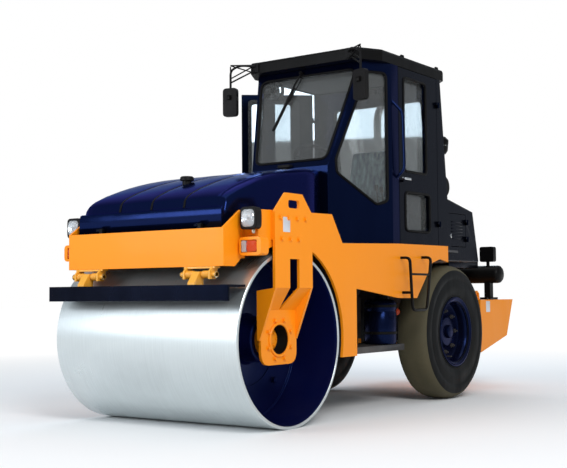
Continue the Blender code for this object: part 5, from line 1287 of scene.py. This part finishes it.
class ROLLER_OT_seat(Builder, bpy.types.Operator):
    """Driver's seat: swollen base and back cushions in a crinkled cover"""
    bl_idname = "roller.seat"
    bl_label = "Seat"

    SWELL_CAP = 0.012   # how far the cloth may move
    SWELL_FRAMES = 15

    def build(self):
        start, end = low("seat"), high("seat")
        base = self.cushion("seat_cushion", (start.x + 0.014, start.y + 0.030, start.z + 0.008),
                            (end.x - 0.014, start.y + 0.440, start.z + 0.118), 0.0, None)
        lean = Matrix.Rotation(math.radians(-8), 4, "X")
        foot = Vector((MID_X, start.y + 0.440, start.z + 0.110))
        turn = Matrix.Translation(foot) @ lean @ Matrix.Translation(-foot)
        back = self.cushion("seat_back", (start.x + 0.020, start.y + 0.410, start.z + 0.100),
                            (end.x - 0.020, start.y + 0.500, end.z - 0.020), 0.10, turn)
        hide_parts("seat")
        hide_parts("seat")
        self.piping(start, end, turn)

    def cushion(self, name, start, end, narrow, turn):
        """Crowned cushion, remeshed, swollen by cloth pressure and capped."""
        start, end = Vector(start), Vector(end)
        bm = bmesh.new()
        add_box(bm, start, end, 0.034, 4)
        bmesh.ops.subdivide_edges(bm, edges=bm.edges, cuts=3, use_grid_fill=True)
        centre = (start + end) / 2
        for vert in bm.verts:
            share = (vert.co.z - start.z) / (end.z - start.z)
            vert.co.x = centre.x + (vert.co.x - centre.x) * (1 - narrow * share ** 3)
        if turn is not None:
            bmesh.ops.transform(bm, matrix=turn, verts=bm.verts)
        made = piece(bm, name, "chassis", "cloth", smooth=180)
        remesh = made.modifiers.new("voxels", "REMESH")
        remesh.mode = "VOXEL"
        remesh.voxel_size = 0.008
        self.bake(made)
        self.swell(made)
        smooth = made.modifiers.new("smooth", "SUBSURF")
        smooth.levels = 1
        smooth.render_levels = 1
        return made

    def bake(self, made):
        """Apply the live modifiers to the mesh."""
        shape = made.evaluated_get(bpy.context.evaluated_depsgraph_get())
        mesh = bpy.data.meshes.new_from_object(shape)
        made.modifiers.clear()
        old = made.data
        made.data = mesh
        bpy.data.meshes.remove(old)
        mesh.shade_smooth()

    def swell(self, made):
        """Blow the cover up with cloth pressure, and cap how far a point may move."""
        before = [vert.co.copy() for vert in made.data.vertices]
        cloth = made.modifiers.new("cloth", "CLOTH")
        cloth.settings.quality = 6
        cloth.settings.mass = 0.25
        cloth.settings.tension_stiffness = 12
        cloth.settings.bending_stiffness = 0.6
        cloth.settings.use_pressure = True
        cloth.settings.uniform_pressure_force = 4.0
        cloth.settings.effector_weights.gravity = 0.0
        scene = bpy.context.scene
        for number in range(1, self.SWELL_FRAMES + 1):
            scene.frame_set(number)
        self.bake(made)
        scene.frame_set(1)
        for vert, rest in zip(made.data.vertices, before):
            move = vert.co - rest
            if move.length > self.SWELL_CAP:
                vert.co = rest + move.normalized() * self.SWELL_CAP

    def piping(self, start, end, turn):
        """Sewn welt round the base cushion, and the shells behind and under the seat."""
        wide = (end.x - start.x) / 2 - 0.012
        level = start.z + 0.063
        front, rear = start.y + 0.028, start.y + 0.442
        loop = [(MID_X - wide, front + 0.040, level), (MID_X - wide + 0.040, front, level),
                (MID_X + wide - 0.040, front, level), (MID_X + wide, front + 0.040, level),
                (MID_X + wide, rear - 0.040, level), (MID_X - wide, rear - 0.040, level)]
        sweep("seat_welt", [loop], 0.005, "chassis", "cloth", closed=True)
        bm = bmesh.new()
        add_box(bm, (MID_X - 0.190, start.y + 0.504, start.z + 0.090),
                (MID_X + 0.190, start.y + 0.528, end.z - 0.070), 0.010, 3)
        bmesh.ops.transform(bm, matrix=turn, verts=bm.verts)
        add_box(bm, (MID_X - 0.200, start.y + 0.040, start.z + 0.001),
                (MID_X + 0.200, start.y + 0.450, start.z + 0.010), 0.003)
        piece(bm, "seat_shell", "chassis", "plastic")


# ------------------------------------------------------------------ lamps and brackets

class ROLLER_OT_lamps(Builder, bpy.types.Operator):
    """Headlamps, signal lamps and rear lamps"""
    bl_idname = "roller.lamps"
    bl_label = "Lamps"

    def build(self):
        for name, side in SIDES:
            refined("headlamp_" + name, "plastic", 0.003, 40)
            self.headlamp(name, side)
            self.signal(name, side)
            self.rear_lamp(name, side)

    def rounded_face(self, bm, centre, wide, tall, deep, crown):
        """Lens block with rounded corners and a crowned front."""
        matrix = Matrix.Translation(centre) @ Matrix.Diagonal((wide, deep, tall, 1))
        made = bmesh.ops.create_cube(bm, size=1.0, matrix=matrix)["verts"]
        edges = {edge for vert in made for edge in vert.link_edges}
        upright = [edge for edge in edges
                   if abs((edge.verts[0].co - edge.verts[1].co).normalized().y) > 0.9]
        round_edges(bm, upright, min(wide, tall) * 0.28, 6)
        front = min(bm.faces, key=lambda face: face.calc_center_median().y)
        bmesh.ops.inset_region(bm, faces=[front], thickness=min(wide, tall) * 0.10, depth=crown)

    def headlamp(self, name, side):
        start, end = low("headlamp_" + name), high("headlamp_" + name)
        centre = Vector(((start.x + end.x) / 2, start.y, (start.z + end.z) / 2))
        wide, tall = end.x - start.x, end.z - start.z
        bm = bmesh.new()
        self.rounded_face(bm, centre + Y * 0.004, wide * 0.74, tall * 0.76, 0.012, 0.004)
        piece(bm, "headlamp_lens_" + name, "chassis", "clear lens", smooth=50)
        bowl = [(0.010, 0.0), (0.030, -0.002), (0.048, -0.006), (0.050, -0.004), (0.030, 0.004), (0.0, 0.006),
                (0.0, 0.0)]
        turned("headlamp_bowl_" + name, "chassis", "reflector", bowl, centre, Y, 32)
        foot = Vector((centre.x + side * 0.010, (start.y + end.y) / 2, start.z))
        bm = bmesh.new()
        add_rod(bm, foot - Z * 0.020, foot + Z * 0.004, 0.012, 20, 0.002)
        add_bolt(bm, foot - Z * 0.012, -Z, 0.016, 0.012)
        piece(bm, "headlamp_foot_" + name, "chassis", "zinc")

    def signal(self, name, side):
        y = middle("drum").y - 0.345 - 0.105
        z = low("front_beam").z + 0.129
        for tint, offset, wide in (("clear", 0.764, 0.038), ("red", 0.828, 0.082)):
            bm = bmesh.new()
            self.rounded_face(bm, Vector((MID_X + side * offset, y + 0.010, z)), wide, 0.074, 0.016, 0.002)
            piece(bm, "signal_" + tint + "_" + name, "chassis", tint + " lens")

    def rear_lamp(self, name, side):
        top = high("rear_beam").z
        x = MID_X + side * 0.612
        y = middle("rear_beam").y
        bm = bmesh.new()
        add_rod(bm, (x, y + 0.024, top - 0.072), (x, y + 0.044, top - 0.072), 0.056, 40, 0.004)
        piece(bm, "work_lamp_lens_" + name, "chassis", "clear lens")
        rim = [(0.055, 0.026), (0.062, 0.028), (0.062, 0.046), (0.057, 0.048), (0.055, 0.044)]
        turned("work_lamp_rim_" + name, "chassis", "plastic", rim, (x, y, top - 0.072), Y, 40, closed=True)


class ROLLER_OT_scraper(Builder, bpy.types.Operator):
    """Scraper bar with its sprung brackets"""
    bl_idname = "roller.scraper"
    bl_label = "Scraper"

    def build(self):
        # painted shade: the scraper bar takes the darker copy of the navy paint
        refined("scraper_blade", "shaded_navy", 0.003)
        for name, _ in SIDES:
            refined("scraper_bracket_" + name, "yellow", 0.0015)
            self.spring(name, "scraper_bracket_" + name)

    def spring(self, name, node):
        """Coil springs and nuts on a bracket's pin."""
        start, end = low(node), high(node)
        y = middle("drum").y - 0.588
        z = end.z - 0.052
        turns, radius = 7, 0.0225
        first, last = start.x + 0.052, (start.x + end.x) / 2 - 0.036
        points = []
        for k in range(turns * 12 + 1):
            turn = TAU * k / 12
            x = first + (last - first) * k / (turns * 12)
            points.append((x, y + radius * math.cos(turn), z + radius * math.sin(turn)))
        other = [(start.x + end.x - x, py, pz) for x, py, pz in points]
        sweep("bracket_spring_" + name, [points, other], 0.0042, "chassis", "yellow")
        bm = bmesh.new()
        for x, way in ((start.x, -1), (end.x, 1)):
            add_bolt(bm, (x - way * 0.004, y, z), X * way, 0.030, 0.004)
        add_bolt(bm, ((start.x + end.x) / 2, start.y + 0.034, start.z + 0.012), Z, 0.018, 0.012)
        piece(bm, "bracket_nuts_" + name, "chassis", "zinc")


class ROLLER_OT_exhaust(Builder, bpy.types.Operator):
    """Exhaust pipe, air cleaner with its clear bowl, clamps and bands"""
    bl_idname = "roller.exhaust"
    bl_label = "Exhaust and air cleaner"

    def build(self):
        refined("exhaust_pipe", "bright", 0.0, 60)
        refined("air_cleaner", "black", 0.002, 40)
        start, end = low("exhaust_pipe"), high("exhaust_pipe")
        centre = Vector((start.x + 0.036, (start.y + end.y) / 2, 0))
        bm = bmesh.new()
        for z in (start.z + 0.020, start.z + 0.300):
            clamp = [(0.0355, z), (0.040, z + 0.003), (0.040, z + 0.019), (0.0355, z + 0.022)]
            add_turned(bm, clamp, centre, Z, 40, closed=True)
        piece(bm, "exhaust_clamps", "chassis", "zinc", recalc=True)
        self.bowl()

    def bowl(self):
        """Clear pre-cleaner bowl and body bands of the air cleaner."""
        start, end = low("air_cleaner"), high("air_cleaner")
        x = MID_X + 0.455
        y = (start.y + end.y) / 2
        top = end.z
        glassy = [(0.046, top - 0.122), (0.066, top - 0.112), (0.074, top - 0.090), (0.076, top - 0.040),
                  (0.070, top - 0.040), (0.068, top - 0.088), (0.060, top - 0.106), (0.046, top - 0.114)]
        turned("precleaner_bowl", "chassis", "bowl", glassy, (x, y, 0), Z, 40, closed=True)
        bm = bmesh.new()
        for offset in (0.030, 0.290):
            band = [(0.104, offset), (0.109, offset + 0.003), (0.109, offset + 0.017),
                    (0.104, offset + 0.020)]
            add_turned(bm, band, (MID_X + 0.500, y, start.z + 0.169), -X, 48, closed=True)
        piece(bm, "cleaner_bands", "chassis", "zinc", recalc=True)


# ------------------------------------------------------------------ stage

class ROLLER_OT_stage(Builder, bpy.types.Operator):
    """Pale floor and backdrop, soft studio light and the camera"""
    bl_idname = "roller.stage"
    bl_label = "Stage"

    def build(self):
        self.floor()
        self.lights()
        self.camera()

    def floor(self):
        bm = bmesh.new()
        bmesh.ops.create_grid(bm, x_segments=1, y_segments=1, size=60.0)
        mesh = bpy.data.meshes.new("floor")
        bm.to_mesh(mesh)
        bm.free()
        made, tree, shader = material("pale floor")
        distance = wired(tree, "VectorMath", "Value", {0: place(tree)}, operation="LENGTH")
        far = ranged(tree, distance, 3.2, 9.0, 0.0, 1.0)
        feed(tree, shader, {"Base Color": blended(tree, far, (0.92, 0.92, 0.92), (0, 0, 0)),
                            "Emission Color": blended(tree, far, (0, 0, 0), (1, 1, 1)),
                            "Emission Strength": 1.0, "Specular IOR Level": 0.1, "Roughness": 0.9})
        mesh.materials.append(made)
        floor = bpy.data.objects.new("floor", mesh)
        floor.location.z = CAD_BOX[0][2]
        bpy.context.scene.collection.objects.link(floor)

    def area(self, name, spot, aim, width, tall, power, tint=(1, 1, 1)):
        light = bpy.data.lights.new(name, "AREA")
        light.shape = "RECTANGLE"
        light.size = width
        light.size_y = tall
        light.energy = power
        light.color = tint
        holder = bpy.data.objects.new(name, light)
        holder.location = spot
        holder.rotation_euler = (Vector(aim) - Vector(spot)).to_track_quat("-Z", "Y").to_euler()
        bpy.context.scene.collection.objects.link(holder)

    def lights(self):
        aim = (0, -0.3, 1.2)
        self.area("key", (7.5, -6.0, 7.0), aim, 4.0, 4.0, 560)
        self.area("front fill", (-3.5, -9.0, 3.0), aim, 5.0, 3.0, 290, (0.90, 0.95, 1.0))
        self.area("top", (0, 0, 9.0), (0, 0, 0), 8.0, 8.0, 200)
        self.area("back rim", (-4.0, 8.0, 5.0), aim, 5.0, 3.0, 260, (0.70, 0.85, 1.0))
        world = bpy.data.worlds.new("studio")
        world.use_nodes = True
        tree = world.node_tree
        seen = tree.nodes["Background"]
        seen.inputs["Color"].default_value = (1, 1, 1, 1)
        seen.inputs["Strength"].default_value = 1.0
        lit = tree.nodes.new("ShaderNodeBackground")
        lit.inputs["Color"].default_value = (0.86, 0.93, 1.0, 1)
        lit.inputs["Strength"].default_value = 0.42
        path = tree.nodes.new("ShaderNodeLightPath")
        mix = tree.nodes.new("ShaderNodeMixShader")
        tree.links.new(path.outputs["Is Camera Ray"], mix.inputs["Fac"])
        tree.links.new(lit.outputs["Background"], mix.inputs[1])
        tree.links.new(seen.outputs["Background"], mix.inputs[2])
        tree.links.new(mix.outputs["Shader"], tree.nodes["World Output"].inputs["Surface"])
        bpy.context.scene.world = world
        bpy.context.scene.view_settings.view_transform = "Standard"

    def camera(self):
        """Camera at a three-quarter front view, close to the ground."""
        sensor, wide, focal = 36.0, 567, 1078.79
        yaw, pitch, roll = math.radians(35.566), math.radians(3.247), math.radians(-0.4395)
        spot = Vector((MID_X + 5.0389, middle("drum").y - 5.9801, 0.9012))
        view = Vector((-math.sin(yaw) * math.cos(pitch), math.cos(yaw) * math.cos(pitch), math.sin(pitch)))
        right = Vector((math.cos(yaw), math.sin(yaw), 0))
        up = right.cross(view)
        across = right * math.cos(roll) + up * math.sin(roll)
        upright = up * math.cos(roll) - right * math.sin(roll)
        data = bpy.data.cameras.new("camera")
        data.sensor_width = sensor
        data.lens = focal * sensor / wide
        holder = bpy.data.objects.new("camera", data)
        turn = Matrix((across, upright, -view)).transposed().to_4x4()
        holder.matrix_world = Matrix.Translation(spot) @ turn
        bpy.context.scene.collection.objects.link(holder)
        bpy.context.scene.camera = holder


# ------------------------------------------------------------------ panel and registration

OPERATORS = (ROLLER_OT_stage, ROLLER_OT_drum, ROLLER_OT_wheels, ROLLER_OT_frame, ROLLER_OT_bolts,
             ROLLER_OT_front_hood, ROLLER_OT_engine_hood, ROLLER_OT_cab, ROLLER_OT_windows,
             ROLLER_OT_cab_fittings, ROLLER_OT_cab_inside, ROLLER_OT_seat, ROLLER_OT_lamps,
             ROLLER_OT_scraper, ROLLER_OT_exhaust)


class ROLLER_PT_panel(bpy.types.Panel):
    """Sidebar panel of the road roller"""
    bl_label = "Road roller"
    bl_idname = "ROLLER_PT_panel"
    bl_space_type = "VIEW_3D"
    bl_region_type = "UI"
    bl_category = "Roller"

    def draw(self, context):
        layout = self.layout
        for group in (context.scene.roller_sizes, context.scene.roller_colours):
            column = layout.column()
            for name in group.bl_rna.properties.keys():
                if name not in ("rna_type", "name"):
                    column.prop(group, name)
        for operator in OPERATORS:
            layout.operator(operator.bl_idname)


CLASSES = (RollerColours, RollerSizes, *OPERATORS, ROLLER_PT_panel)


def register():
    for each in CLASSES:
        bpy.utils.register_class(each)
    bpy.types.Scene.roller_colours = PointerProperty(type=RollerColours)
    bpy.types.Scene.roller_sizes = PointerProperty(type=RollerSizes)


def unregister():
    del bpy.types.Scene.roller_sizes
    del bpy.types.Scene.roller_colours
    for each in reversed(CLASSES):
        bpy.utils.unregister_class(each)


def main():
    register()
    for operator in OPERATORS:
        family, name = operator.bl_idname.split(".")
        getattr(getattr(bpy.ops, family), name)()


if __name__ == "__main__":
    main()
